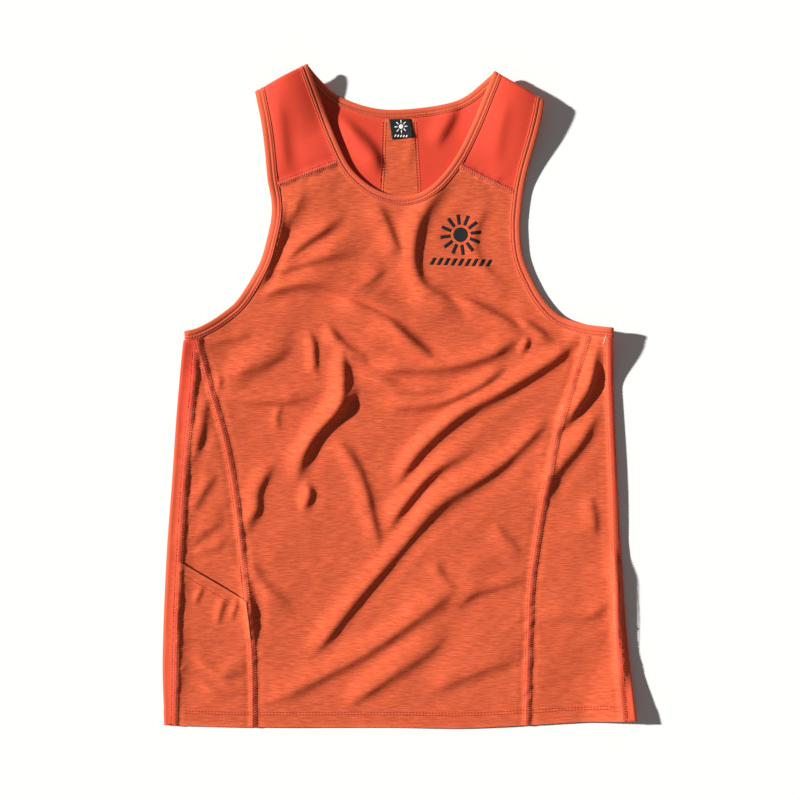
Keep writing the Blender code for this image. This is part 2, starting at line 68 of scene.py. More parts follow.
# Sewing.
NECK_BINDING_WIDTH = 9.5
ARM_BINDING_WIDTH = 10.5
BINDING_RISE = 0.7  # middle of a binding above the middle of its layer
TUCKED = 0.6  # how far a panel reaches under its binding
HEM_DEPTH = 16.5
HEM_STEP = 1.6  # width of the step at the top of the hem
GAP = 0.05  # from a panel's edge to the middle of its seam
SEAM_REACH = 3.6  # half the width of a seam's ridge
CENTRE_BACK_TOP = 294.0
NECK_CENTRE = (0, 0)  # a point below the neck, to which its binding lies
SEAM_MESH_ROWS = (-5.4, -4.1, -3.0, 3.0, 4.1, 5.4)  # rows of points beside a seam
SIDE_MESH_ROWS = (6.9, 8.6, 10.4)
SEAM_STITCHES = 3.3  # from the middle of a seam to its stitch rows
YOKE_STITCHES = 2.6
CENTRE_BACK_STITCHES = 2.2
INSIDE_NECK_STITCHES = 1.6
INSIDE_NECK = 170  # y above which the centre-back seams can be seen inside the neck
HEM_STITCHES = (13.0, 15.6)
MOUTH_STITCHES = -10.2
STITCH_SINK = 0.18
COVER_SINK = 0.04
THREAD_TAIL = [(213.0, 55.5), (214.6, 58.5), (214.9, 61.5), (216.4, 64.5)]

# Pitch and thickness of threads, in metres.
BINDING_COVER = (0.00125, 0.00062)
SEAM_COVER = (0.0012, 0.0008)
HEM_THREAD = (0.0034, 0.0009)
TAIL_THREAD = (0.0015, 0.0009)

# Fields, creases and meshes.
FIELD_STEP = 1.0
FIELD_X = np.arange(-276.0, 277.0, FIELD_STEP)
FIELD_Y = np.arange(-376.0, 381.0, FIELD_STEP)
RIDGE_UNION = 2.4  # how sharply one crease passes into another
CREASE_END = 42.0  # length over which a crease's end fades
LONGEST_FADE = 0.34  # the same as a share of a short crease

# Section of a crease, as shares of its half width, and its trough's depth as a share of its height.
CREST = 0.6
LIT_SLOPE, STEEP_SLOPE = 0.8, 0.62
TROUGH_PLACE, TROUGH_WIDTH, TROUGH_DEPTH = 0.9, 0.55, 0.12

# Ridge of a seam with the groove beside it, and how far its pull puckers the knit.
RIDGE_RISE, GROOVE_DEPTH = 0.75, 0.5
GROOVE_PLACE, GROOVE_WIDTH = 6.2, 2.4
SEAM_PULL = 9

# The pocket's outer panel over the panel behind it.
POCKET_LEFT, POCKET_WIDTH = -230, 72
POCKET_STAND, POCKET_SEWN = 1.15, 0.75  # how far it stands off, and how much less at the floor
MOUTH_SAG, MOUTH_REACH = 1.1, 22
MOUTH_FOLD, MOUTH_FOLD_RISE = 11, 0.35

LINE_STEP = 2.6  # distance between points of an outline
RIM_DEPTH = 0.5  # distance of the inner ring of points from the edge
PROBE = 0.7  # distance at which a surface's slope is read
FUZZ_AND_HIGHLIGHT_REACH = 5.0  # width of the paler band along an edge: worn fuzz on cut edges, painted highlight on a binding's folded edge
FAR = 1e9

# The stage.
TABLE_HALF = 6.0
TABLE_HEIGHT = -0.0002
SUN_POWER = 5.95
SUN_WIDTH = math.radians(2.6)
SUN_TURN = (0, math.radians(-60), math.radians(-12))
ROOM_POWER = 0.13
LENS, SENSOR = 85, 36
VIEW_WIDTH = 0.84
VIEW_CENTRE = (0.001, -0.0026)
VIEW_PLANE = 0.004  # height at which the view is that wide

# Outline of the garment as it lies. Columns: x, y.
LEFT_EDGE = [
    (-246, -344), (-248, -276), (-244, -171), (-238, -87), (-233, -13), (-228, 39), (-224, 70),
]
RIGHT_EDGE = [
    (248, -338), (242, -279), (237, -227), (234, -176), (230, -108), (227, -45), (225, 13),
    (223, 73),
]
HEM = [
    (-246, -344), (-152, -346), (-22, -346), (63, -347), (134, -344), (183, -341), (248, -338),
]
LEFT_ARMHOLE = [
    (-224, 70), (-213, 72), (-196, 81), (-181, 92), (-170, 102), (-156, 123), (-145, 144),
    (-139, 165), (-134, 188), (-134, 207), (-138, 228), (-141, 260), (-145, 291), (-151, 320),
]
RIGHT_ARMHOLE = [
    (223, 73), (204, 75), (186, 79), (167, 87), (151, 104), (140, 123), (130, 148), (127, 176),
    (128, 197), (131, 220), (136, 243), (145, 275), (150, 297), (152, 309),
]
FRONT_NECK = [
    (-95, 347), (-83, 315), (-65, 269), (-49, 239), (-23, 218), (7, 211), (34, 222), (58, 250),
    (77, 287), (91, 321), (99, 340),
]
BACK_NECK = [(-95, 347), (-83, 333), (-60, 315), (-17, 303), (34, 306), (66, 314), (87, 329), (99, 340)]

# Seams, from the top down. Columns: x, y.
LEFT_PRINCESS = [
    (-210.2, 60), (-209, 52), (-197, 7), (-182, -47), (-171, -108), (-161, -198), (-154, -270),
    (-153, -348),
]
LEFT_SIDE = [
    (-211.2, 60), (-213, 50), (-216, 7), (-223, -58), (-229, -150), (-233, -230), (-236, -348),
]
RIGHT_PRINCESS = [
    (198, 67), (185, 22), (169, -28), (158, -78), (147, -140), (139, -200), (136, -276),
    (134, -348),
]
RIGHT_SIDE = [(218, 65), (220, 28), (222, -26), (224, -72), (227, -176), (229, -255), (236, -348)]
LEFT_CENTRE_BACK = [(-15, 296), (-18, 225), (-30, 0), (-45, -348)]
RIGHT_CENTRE_BACK = [(16, 297), (21, 220), (32, 0), (47, -348)]

# Heights at which the yoke seams and the pocket mouth meet their two neighbours.
LEFT_YOKE = (224, 247)
RIGHT_YOKE = (216, 243)
POCKET_MOUTH = (-172, -214)
POCKET_FLOOR = -255
LABEL = [(-10.5, 292.3), (12.1, 292.9), (15.4, 273.4), (-7.4, 271.4)]

# Where the garment stands off the table. Columns: place, x, y, reach along x, reach along y, rise of
# both layers, extra space between them.
LIFTS = [
    ("left shoulder", -112, 356, 58, 92, 21, 1.0),
    ("left strap", -80, 290, 40, 84, 0, 2.5),
    ("right shoulder", 128, 342, 82, 130, 18, 3.0),
    ("left armhole corner", -232, 72, 62, 66, 5, 3.0),
    ("right armhole corner", 234, 78, 66, 70, 14, 6.0),
    ("right side", 242, -60, 34, 190, 2, 2.5),
    ("right low side", 250, -215, 32, 95, 5, 1.0),
    ("right hem corner", 254, -346, 66, 96, 9, 4.0),
    ("left side", -246, -150, 30, 220, 0, 3.0),
]

# Creases of the front. Columns: place, four points along the foot of the steep side with the lit
# slope on the left hand, height, half width, how much longer the lit slope is than the steep one.
CREASES = [
    ("deep left", (-109, -97), (-91, -56), (-67, -22), (-33, 18), 11.0, 9.5, 1.4),
    ("deep left top", (-74, -38), (-57, -6), (-52, 24), (-54, 64), 10.5, 9.5, 1.4),
    ("deep left hook", (-107, -124), (-96, -115), (-91, -100), (-101, -84), 6.0, 8, 1.5),
    ("upper diagonal", (-4, -104), (36, -50), (97, -5), (200, 60), 8.8, 9.5, 1.5),
    ("lower diagonal", (-98, -284), (-15, -186), (54, -113), (132, -52), 8.6, 9.5, 1.6),
    ("lower diagonal tail", (92, -84), (120, -61), (142, -44), (164, -26), 5.0, 8, 1.7),
    ("middle short", (-16, -152), (14, -113), (41, -83), (84, -52), 7.0, 8.5, 1.7),
    ("middle upright", (-16, -172), (-21, -127), (-33, -85), (-68, -30), 5.8, 8.5, 1.6),
    ("waist long", (-42, 29), (30, 27), (90, 41), (136, 66), 8.4, 9, 1.5),
    ("waist second", (-54, 28), (-18, 12), (6, 4), (64, 2), 6.4, 7, 1.5),
    ("waist third", (-34, -4), (18, -13), (68, -3), (122, 38), 7.0, 9, 1.5),
    ("centre slope", (52, 32), (16, 64), (-18, 90), (-74, 112), 8.4, 8.5, 1.5),
    ("centre hook", (-26, 40), (-46, 51), (-62, 63), (-82, 80), 7.4, 7, 1.6),
    ("centre tail", (-80, 18), (-86, 40), (-90, 58), (-101, 78), 5.6, 7, 1.6),
    ("chest right", (78, 88), (28, 126), (25, 172), (68, 236), 8.0, 10, 1.7),
    ("chest right outer", (119, 112), (93, 138), (86, 172), (100, 214), 4.2, 8, 1.7),
    ("under right arm", (146, 66), (116, 82), (90, 96), (46, 114), 10.5, 8, 1.4),
    ("right arm corner", (168, 60), (151, 71), (138, 79), (118, 88), 7.4, 7, 1.5),
    ("right arm ripple", (140, 66), (160, 56), (178, 54), (198, 60), 4.0, 6, 1.5),
    ("right arm knob", (124, 46), (133, 53), (137, 61), (133, 72), 4.2, 5, 1.3),
    ("left armhole edge", (-158, 94), (-136, 132), (-123, 170), (-115, 220), 10.0, 7, 1.5),
    ("chest left long", (-129, 146), (-116, 178), (-103, 202), (-92, 228), 4.4, 9, 1.8),
    ("chest left short", (-128, 132), (-98, 158), (-76, 173), (-50, 193), 5.6, 8, 1.8),
    ("chest middle", (14, 138), (-3, 167), (-11, 184), (-24, 212), 5.6, 9, 1.7),
    ("chest low", (-54, 96), (-38, 110), (-25, 122), (-8, 138), 3.6, 8, 1.7),
    ("chest arc", (-148, 108), (-118, 130), (-86, 141), (-32, 154), 5.2, 9, 1.8),
    ("armhole arc", (-160, 95), (-98, 116), (-45, 105), (12, 78), 7.4, 9, 1.8),
    ("under left arm", (-182, 13), (-154, 27), (-133, 38), (-106, 56), 5.0, 9, 1.8),
    ("left of waist", (-196, -4), (-151, -7), (-116, -7), (-76, -1), 5.2, 9, 1.8),
    ("left arm ripple", (-206, 54), (-186, 57), (-167, 59), (-148, 63), 3.4, 7, 1.5),
    ("left arm bump", (-191, 2), (-186, 9), (-185, 16), (-191, 25), 3.2, 5, 1.4),
    ("left low", (-168, -150), (-147, -122), (-143, -98), (-123, -64), 6.6, 9, 1.7),
    ("left dimple", (-123, -40), (-124, -29), (-125, -20), (-119, -6), 3.2, 6, 1.5),
    ("right panel", (165, -52), (189, -13), (206, 16), (216, 62), 8.6, 9, 1.5),
    ("right panel low", (157, -124), (164, -88), (189, -54), (217, -8), 7.0, 9, 1.8),
    ("right panel foot", (212, -150), (209, -132), (206, -116), (201, -98), 3.2, 7, 1.6),
    ("right panel sag", (144, -226), (174, -232), (200, -232), (224, -212), 3.0, 8, 1.6),
    ("left panel", (-216, -70), (-206, -36), (-201, -18), (-194, 4), 5.0, 7, 1.6),
    ("left panel foot", (-217, -126), (-207, -106), (-198, -92), (-187, -78), 3.6, 7, 1.6),
    ("left panel middle", (-222, -162), (-208, -146), (-196, -138), (-180, -131), 3.0, 7, 1.6),
    ("above mouth", (-223, -166), (-207, -160), (-192, -156), (-176, -148), 2.6, 6, 1.5),
    ("beside pocket", (-147, -270), (-147, -242), (-150, -214), (-158, -176), 6.2, 8, 1.4),
    ("mouth pucker", (-212, -222), (-209, -210), (-207, -202), (-206, -194), 2.6, 4, 1.3),
    ("mouth pucker middle", (-190, -244), (-186, -229), (-183, -219), (-181, -208), 3.2, 5, 1.3),
    ("mouth pucker end", (-174, -238), (-169, -221), (-168, -214), (-167, -207), 2.6, 4, 1.3),
    ("pocket arc", (-229, -266), (-208, -286), (-188, -295), (-157, -292), 4.6, 7.5, 1.7),
    ("pocket arc low", (-226, -296), (-205, -309), (-188, -314), (-158, -311), 3.0, 7, 1.6),
    ("lower long", (-146, -324), (-66, -290), (4, -251), (70, -200), 6.8, 10, 2.0),
    ("lower short", (-62, -332), (-15, -302), (17, -281), (62, -246), 5.6, 9.5, 1.9),
    ("lower right", (56, -232), (72, -214), (98, -205), (144, -193), 5.4, 8.5, 1.7),
    ("hem right", (20, -316), (64, -299), (96, -287), (140, -273), 4.2, 10, 1.8),
    ("right of lower", (140, -166), (122, -151), (110, -140), (98, -124), 3.4, 8, 1.7),
    ("right ripple", (74, -204), (56, -193), (46, -180), (35, -164), 3.0, 8, 1.7),
    ("left ripple", (-106, -226), (-128, -205), (-142, -189), (-158, -160), 3.6, 9, 1.7),
    ("left yoke", (-112, 226), (-113, 254), (-117, 286), (-125, 326), 3.4, 10, 1.6),
    ("right yoke", (104, 232), (108, 262), (114, 288), (121, 316), 2.0, 9, 1.6),
]

# Creases that run along an edge, where the front rolls over. Columns as above.
EDGE_ROLLS = [
    ("left edge", (-229, -344), (-224, -190), (-216, -60), (-206, 46), 1.7, 9, 1.0),
    ("left rim", (-241, -344), (-240, -200), (-233, -80), (-223, 40), 1.0, 3.2, 1.0),
    ("right edge", (242, -318), (237.5, -250), (234.5, -200), (230.5, -150), 6.5, 11, 1.1),
]

# Soft creases of the back layer, which show inside the neck. Columns as above.
BACK_CREASES = [
    ("inside left", (-19, 222), (-20, 248), (-38, 277), (-70, 305), 6.5, 11, 1.7),
    ("inside right", (44, 256), (54, 280), (60, 296), (65, 314), 3.4, 9, 1.7),
    ("inside edge", (14, 232), (17, 252), (17, 272), (14, 292), 1.2, 6, 1.4),
]

# Waves of the knit between creases. Columns: wavelength along the lie of the folds, across it, height.
WAVES = [(110, 46, 0.85), (44, 20, 0.17), (15, 9, 0.03)]
WAVE_ANGLE = math.radians(42)


def metres(name, description, value):
    return bpy.props.FloatProperty(name=name, description=description, default=value, unit="LENGTH")


class SingletSizes(bpy.types.PropertyGroup):
    """Sizes of the cloth and the sewing."""

    cloth: metres("Cloth", "Thickness of the knit", 0.0009)
    binding: metres("Binding", "Thickness of the doubled binding", 0.0022)
    cell: metres("Mesh cell", "Distance between points of the front panels", 0.0024)
    back_cell: metres("Back cell", "Distance between points of the back panels", 0.0036)
    folds: bpy.props.FloatProperty(
        name="Fold height", description="Height of the creases, as a share", default=0.8,
        subtype="FACTOR")
    pitch: metres("Stitch pitch", "Distance from stitch to stitch", 0.0030)
    thread: metres("Thread", "Thickness of the sewing thread", 0.00072)
    motif: metres("Motif", "Height of the chest motif", 0.043)


def colour(name, description, value):
    return bpy.props.FloatVectorProperty(
        name=name, description=description, default=value, size=4, min=0, max=1, subtype="COLOR")


class SingletColours(bpy.types.PropertyGroup):
    """Colours of the cloth, the print and the stage."""

    jersey: colour("Jersey", "Ground of the heathered jersey", (0.86, 0.151, 0.058, 1))
    dash: colour("Jersey dash", "Darker dashes in the heathered jersey", (0.52, 0.060, 0.021, 1))
    red: colour("Red knit", "Smooth knit of the back and the yokes", (0.74, 0.064, 0.031, 1))
    warm: colour("Warm red", "Red knit below the arms", (0.76, 0.112, 0.045, 1))
    binding: colour("Binding", "Neck and armhole binding", (0.74, 0.120, 0.052, 1))
    thread: colour("Thread", "Sewing thread", (0.40, 0.040, 0.024, 1))
    seam: colour("Seam thread", "Covering thread of the long seams", (0.62, 0.082, 0.046, 1))
    cover: colour(
        "Looper thread", "Covering thread of the yoke seams and bindings", (0.82, 0.170, 0.100, 1))
    print_black: colour("Print", "Chest motif and label ground", (0.012, 0.012, 0.014, 1))
    label_mark: colour("Label mark", "Woven mark on the label", (0.88, 0.88, 0.86, 1))
    floor: colour("Floor", "Table under the garment", (0.95, 0.95, 0.95, 1))


# Curves and outlines -------------------------------------------------------------------------------

def smooth_curve(rows, step):
    """Points about one step apart on a smooth curve through the rows."""
    rows = np.array(rows, float)
    ends = np.vstack([2 * rows[0] - rows[1], rows, 2 * rows[-1] - rows[-2]])
    found = [rows[:1]]
    for i in range(len(rows) - 1):
        a, b, c, d = ends[i : i + 4]
        count = max(1, int(round(np.linalg.norm(c - b) / step)))
        t = (np.arange(count)[:, None] + 1) / count
        slope_in, slope_out = (c - a) / 2, (d - b) / 2
        found.append(
            (2 * t**3 - 3 * t**2 + 1) * b + (t**3 - 2 * t**2 + t) * slope_in
            + (-2 * t**3 + 3 * t**2) * c + (t**3 - t**2) * slope_out
        )
    return np.vstack(found)


def sideways(curve):
    """Unit vectors to the left of a curve's run, eased so that an inset stays smooth."""
    along = np.gradient(curve, axis=0)
    along /= np.linalg.norm(along, axis=1)[:, None]
    return np.stack([-along[:, 1], along[:, 0]], axis=1)


def moved_in(curve, width, towards=CLOTH_SIDE):
    """The curve moved sideways by the width, to the side on which the given point lies."""
    across = sideways(curve)
    middle = len(curve) // 2
    if np.dot(across[middle], np.array(towards) - curve[middle]) < 0:
        across = -across
    return curve + across * width


def x_at(curve, y):
    order = np.argsort(curve[:, 1])
    return np.interp(y, curve[order, 1], curve[order, 0])


def y_at(curve, x):
    order = np.argsort(curve[:, 0])
    return np.interp(x, curve[order, 0], curve[order, 1])


LEFT_LINE = smooth_curve(LEFT_EDGE, LINE_STEP)
RIGHT_LINE = smooth_curve(RIGHT_EDGE, LINE_STEP)
HEM_LINE = smooth_curve(HEM, LINE_STEP)


def edge_line(side, y):
    """x of the side fold: side is -1 on the left, 1 on the right."""
    return x_at(LEFT_LINE if side < 0 else RIGHT_LINE, y)


def between(curve, low, high):
    """The part of a curve between two heights, with its ends put on them, from low to high."""
    curve = curve[np.argsort(curve[:, 1])]
    middle = curve[(curve[:, 1] > low + 0.8) & (curve[:, 1] < high - 0.8)]
    return np.vstack([[x_at(curve, low), low], middle, [x_at(curve, high), high]])


def across_between(curve, low, high):
    """The part of a curve between two x, with its ends put on them, from low to high."""
    curve = curve[np.argsort(curve[:, 0])]
    middle = curve[(curve[:, 0] > low + 0.8) & (curve[:, 0] < high - 0.8)]
    return np.vstack([[low, y_at(curve, low)], middle, [high, y_at(curve, high)]])


def seam(rows, shift, low, high):
    return between(smooth_curve(rows, LINE_STEP) + np.array([shift, 0]), low, high)


def hem_between(left, right):
    return HEM_LINE[(HEM_LINE[:, 0] > left + 1) & (HEM_LINE[:, 0] < right - 1)]


def hem_corner(rows, shift):
    """Where a seam meets the hem."""
    curve = smooth_curve(rows, LINE_STEP)
    low = y_at(HEM_LINE, curve[-1, 0])
    return np.array([x_at(curve, low) + shift, low])


def straight(a, b, step=LINE_STEP):
    count = max(1, int(np.linalg.norm(np.array(b) - np.array(a)) / step))
    return np.linspace(a, b, count + 1)[1:-1]


def neck_scoop(width, left_height, right_height):
    """Front neck edge moved in by the width, from left to right, cut off at the two heights."""
    inner = moved_in(smooth_curve(FRONT_NECK, LINE_STEP), width, NECK_CENTRE)
    left, right = inner[inner[:, 0] < 5], inner[inner[:, 0] >= 5]
    low_left, low_right = left[left[:, 1] < left_height - 0.8], right[right[:, 1] < right_height - 0.8]
    start = [x_at(left, left_height), left_height]
    end = [x_at(right, right_height), right_height]
    return np.vstack([[start], low_left, low_right, [end]])


# Height of the cloth -------------------------------------------------------------------------------

FIELDS = {}


def from_side_folds(x, y):
    """Distance inside the nearer side fold."""
    return np.minimum(x - edge_line(-1, y), edge_line(1, y) - x)


def smoothstep(value):
    value = np.clip(value, 0, 1)
    return value * value * (3 - 2 * value)


def read_field(name, x, y):
    """Value of a field between its points."""
    field = FIELDS[name]
    u = np.clip((x - FIELD_X[0]) / FIELD_STEP, 0, len(FIELD_X) - 1.001)
    v = np.clip((y - FIELD_Y[0]) / FIELD_STEP, 0, len(FIELD_Y) - 1.001)
    i, j = u.astype(int), v.astype(int)
    s, t = u - i, v - j
    low = field[j, i] * (1 - s) + field[j, i + 1] * s
    high = field[j + 1, i] * (1 - s) + field[j + 1, i + 1] * s
    return low * (1 - t) + high * t


def waves(seed, along, across, height):
    """Smooth random waves that run with the folds."""
    noise = np.random.default_rng(seed).standard_normal((len(FIELD_Y), len(FIELD_X)))
    fy = np.fft.fftfreq(len(FIELD_Y), FIELD_STEP)[:, None]
    fx = np.fft.fftfreq(len(FIELD_X), FIELD_STEP)[None, :]
    run = fx * math.cos(WAVE_ANGLE) + fy * math.sin(WAVE_ANGLE)
    rise = -fx * math.sin(WAVE_ANGLE) + fy * math.cos(WAVE_ANGLE)
    keep = np.exp(-((run * along) ** 2 + (rise * across) ** 2) * 1.4)
    made = np.fft.ifft2(np.fft.fft2(noise) * keep).real
    return made / made.std() * height


def near_line(line, reach, sway=False):
    """Part of the fields near a line: its slices, signed distance (left hand positive) and place."""
    low, high = line.min(axis=0) - reach, line.max(axis=0) + reach
    cols = slice(np.searchsorted(FIELD_X, low[0]), np.searchsorted(FIELD_X, high[0]))
    rows = slice(np.searchsorted(FIELD_Y, low[1]), np.searchsorted(FIELD_Y, high[1]))
    x, y = np.meshgrid(FIELD_X[cols], FIELD_Y[rows])
    if sway:
        x, y = x + FIELDS["sway_x"][rows, cols], y + FIELDS["sway_y"][rows, cols]
    nearest = np.full(x.shape, FAR)
    signed, place = np.zeros(x.shape), np.zeros(x.shape)
    runs = np.diff(line, axis=0)
    lengths = np.linalg.norm(runs, axis=1)
    starts = np.concatenate([[0], np.cumsum(lengths)])
    for start, run, length, before in zip(line, runs, lengths, starts):
        t = np.clip(((x - start[0]) * run[0] + (y - start[1]) * run[1]) / length**2, 0, 1)
        dx, dy = x - start[0] - t * run[0], y - start[1] - t * run[1]
        away = np.hypot(dx, dy)
        side = np.where(-run[1] * dx + run[0] * dy >= 0, 1, -1)
        closer = away < nearest
        signed = np.where(closer, away * side, signed)
        place = np.where(closer, (before + t * length) / starts[-1], place)
        nearest = np.minimum(nearest, away)
    return (rows, cols), signed, place


def creases(table):
    """Field of creases: each has a long lit slope, a crest, a steep slope and a shallow trough."""
    ridges = np.zeros((len(FIELD_Y), len(FIELD_X)))
    troughs = np.zeros_like(ridges)
    for row in table:
        height, width, length = row[5:8]
        line = smooth_curve(row[1:5], 6)
        run = np.linalg.norm(np.diff(line, axis=0), axis=1).sum()
        where, away, place = near_line(line, width * 4, sway=True)
        crest = CREST * width
        slope = np.where(away > crest, LIT_SLOPE * length * width, STEEP_SLOPE * width)
        fade = smoothstep(np.minimum(place, 1 - place) / min(LONGEST_FADE, CREASE_END / run))
        fade *= FIELDS["depth"][where]
        ridges[where] += (height * fade * np.exp(-(((away - crest) / slope) ** 2))) ** RIDGE_UNION
        below = (away + TROUGH_PLACE * width) / (TROUGH_WIDTH * width)
        troughs[where] += TROUGH_DEPTH * height * fade * np.exp(-(below**2))
    return ridges ** (1 / RIDGE_UNION) - troughs


def beside(line, reach, profile):
    """A field that holds profile(distance) beside a line."""
    field = np.zeros((len(FIELD_Y), len(FIELD_X)))
    where, away, _ = near_line(line, reach)
    field[where] = profile(np.abs(away))
    return field


def seam_profile(away):
    """Height of a seam's ridge and groove at a distance from its middle."""
    ridge = RIDGE_RISE * np.exp(-((away / SEAM_REACH) ** 6))
    return ridge - GROOVE_DEPTH * np.exp(-(((away - GROOVE_PLACE) / GROOVE_WIDTH) ** 2))


def front_seams():
    """Lines of the seams on the front, by name."""
    left_arm = moved_in(smooth_curve(LEFT_ARMHOLE, LINE_STEP), ARM_BINDING_WIDTH)
    right_arm = moved_in(smooth_curve(RIGHT_ARMHOLE, LINE_STEP), ARM_BINDING_WIDTH)
    scoop = neck_scoop(NECK_BINDING_WIDTH, LEFT_YOKE[1], RIGHT_YOKE[1])
    left_yoke = [[x_at(left_arm, LEFT_YOKE[0]), LEFT_YOKE[0]], scoop[0]]
    right_yoke = [scoop[-1], [x_at(right_arm, RIGHT_YOKE[0]), RIGHT_YOKE[0]]]

    def from_hem(rows, top):
        return seam(rows, 0, hem_corner(rows, 0)[1], top)

    return {
        "princess_left": from_hem(LEFT_PRINCESS, y_at(left_arm, LEFT_PRINCESS[0][0])),
        "princess_right": from_hem(RIGHT_PRINCESS, y_at(right_arm, RIGHT_PRINCESS[0][0])),
        "side_left": from_hem(LEFT_SIDE, 48),
        "side_right": from_hem(RIGHT_SIDE, y_at(right_arm, 214)),
        "yoke_left": np.vstack([left_yoke[:1], straight(*left_yoke), left_yoke[1:]]),
        "yoke_right": np.vstack([right_yoke[:1], straight(*right_yoke), right_yoke[1:]]),
    }


def make_fields(sizes):
    """Works out the height of both layers, and the relief of seams and hems, over the whole table."""
    x, y = np.meshgrid(FIELD_X, FIELD_Y)
    lift, puff = np.zeros_like(x), np.zeros_like(x)
    for _, at_x, at_y, reach_x, reach_y, rise, space in LIFTS:
        share = np.clip(1 - ((x - at_x) / reach_x) ** 2 - ((y - at_y) / reach_y) ** 2, 0, None) ** 2
        lift += share * rise
        puff += share * space
    FIELDS["sway_x"], FIELDS["sway_y"] = waves(51, 90, 60, 1.5), waves(52, 90, 60, 1.5)
    FIELDS["depth"] = np.clip(1 + waves(53, 90, 60, 0.10), 0.7, 1.3)
    back_folds, folds, rolls = creases(BACK_CREASES), creases(CREASES), creases(EDGE_ROLLS)
    drift = sum(waves(11 + i, *row) for i, row in enumerate(WAVES))
    from_sides = from_side_folds(x, y)
    seam_near = np.zeros_like(x)
    ridge = np.zeros_like(x)
    for line in front_seams().values():
        seam_near = np.maximum(seam_near, beside(line, 26, lambda d: np.exp(-((d / SEAM_PULL) ** 2))))
        ridge += beside(line, 16, seam_profile)
    # Creases, waves and rolls die out towards the side folds, each over its own distance.
    calm = smoothstep((from_sides - 1) / 10)
    wave_calm = smoothstep((from_sides - 3) / 20)
    roll_calm = smoothstep((from_sides - 0.5) / 7)
    edges = np.zeros_like(x)
    for rows, width in ((LEFT_ARMHOLE, 11), (RIGHT_ARMHOLE, 11), (FRONT_NECK, 10)):
        line = smooth_curve(rows, 5)
        edges = np.maximum(edges, beside(line, 40, lambda d: np.exp(-((d / (width * 1.6)) ** 2))))
    pucker = waves(31, 9, 6, 0.13) * (0.25 + 2.6 * seam_near)
    above_hem = y - y_at(HEM_LINE, x)
    hem_calm = 0.35 + 0.65 * smoothstep((above_hem - 4) / 40)
    high = smoothstep((y - 225) / 40)
    still = (1 - 0.8 * edges) * hem_calm * (1 - 0.8 * high)
    upper = folds * calm * sizes.folds * (1 - 0.5 * edges) + (drift + pucker) * wave_calm * still
    upper += rolls * roll_calm
    upper = LOWEST_FOLD + np.logaddexp(0, (upper - LOWEST_FOLD) * FLOOR_SHARPNESS) / FLOOR_SHARPNESS
    FIELDS["front"] = BACK_MIDDLE + lift + LAYER_GAP + puff + upper
    in_neck = beside(smooth_curve(FRONT_NECK, 6), 60, lambda d: smoothstep(d / 22))
    neck_rows = np.interp(x, *smooth_curve(FRONT_NECK, 4).T)
    FIELDS["back"] = BACK_MIDDLE + lift + np.maximum(back_folds, 0) * in_neck * (y > neck_rows)
    hem = smoothstep((HEM_DEPTH - above_hem) / HEM_STEP) * 0.5
    FIELDS["relief"] = hem + ridge
    FIELDS["hem"] = hem
    FIELDS["folds"] = upper


def inward(beyond):
    """Distance inside the line of a turn of a point that lies this far beyond it when unfolded."""
    return np.where(np.abs(beyond) < TURN, beyond**2 / (2 * TURN) + TURN / 2, np.abs(beyond))


def upper_share(beyond):
    """0 on the back layer, 1 on the front layer, between them in the turn."""
    return (1 + np.sin(math.pi / 2 * np.clip(beyond / TURN, -1, 1))) / 2


def layered(x, y, share):
    low = read_field("back", x, y)
    return low + (read_field("front", x, y) - low) * share


def shoulder_line(side):
    """Neck end, unit vector towards the armhole, and unit vector outwards, of a shoulder's fold."""
    neck = np.array(FRONT_NECK[0] if side < 0 else FRONT_NECK[-1], float)
    arm = np.array(LEFT_ARMHOLE[-1] if side < 0 else RIGHT_ARMHOLE[-1], float)
    along = (arm - neck) / np.linalg.norm(arm - neck)
    return neck, along, np.array([-along[1], along[0]]) * (1 if side > 0 else -1)


def flat_surface(layer, rise=lambda x, y: 0.0):
    """Takes points of a front or back panel straight up to their layer."""

    def place(points):
        x, y = points.T
        return np.stack([x, y, read_field(layer, x, y) + rise(x, y)], axis=1), np.ones(len(x))

    return place


def wrapped_surface(side):
    """Takes an unfolded back side piece to its place, over the side fold and over the shoulder."""
    neck, _, out = shoulder_line(side)
    base = neck + out * TURN / 2

    def place(points):
        x, y = points.T
        edge = edge_line(side, y) + side * TURN / 2
        past_side = side * (x - edge)
        past_shoulder = (points - base) @ out
        high = y > SHOULDER_START
        at_side = np.where(past_side > -TURN, edge - side * inward(past_side), x)
        foot = points - past_shoulder[:, None] * out
        at_shoulder = foot - inward(past_shoulder)[:, None] * out
        new_x = np.where(high, at_shoulder[:, 0], at_side)
        new_y = np.where(high, at_shoulder[:, 1], y)
        share = upper_share(np.where(high, past_shoulder, past_side))
        return np.stack([new_x, new_y, layered(new_x, new_y, share)], axis=1), share

    return place


def over_side(points, side):
    edge = edge_line(side, points[:, 1]) + side * TURN / 2
    return np.stack([2 * edge - points[:, 0], points[:, 1]], axis=1)


def over_shoulder(points, side):
    neck, _, out = shoulder_line(side)
    past = (points - neck - out * TURN / 2) @ out
    return points - 2 * past[:, None] * out


# Meshes --------------------------------------------------------------------------------------------

NO_LINES = np.zeros((0, 2))


def inside(points, outline, reach):
    """Which points lie in the outline, further than the reach from it."""
    hit = np.zeros(len(points), bool)
    away = np.full(len(points), FAR)
    for a, b in zip(outline, np.roll(outline, -1, axis=0)):
        crosses = (a[1] > points[:, 1]) != (b[1] > points[:, 1])
        rise = b[1] - a[1] if b[1] != a[1] else 1.0
        hit ^= crosses & (points[:, 0] < (b[0] - a[0]) * (points[:, 1] - a[1]) / rise + a[0])
        near = np.abs(points - (a + b) / 2).max(axis=1) < reach + np.abs(b - a).max()
        spot = points[near]
        run = b - a
        t = np.clip((spot - a) @ run / max(run @ run, 1e-9), 0, 1)
        away[near] = np.minimum(away[near], np.linalg.norm(spot - a - t[:, None] * run, axis=1))
    return hit & (away > reach)


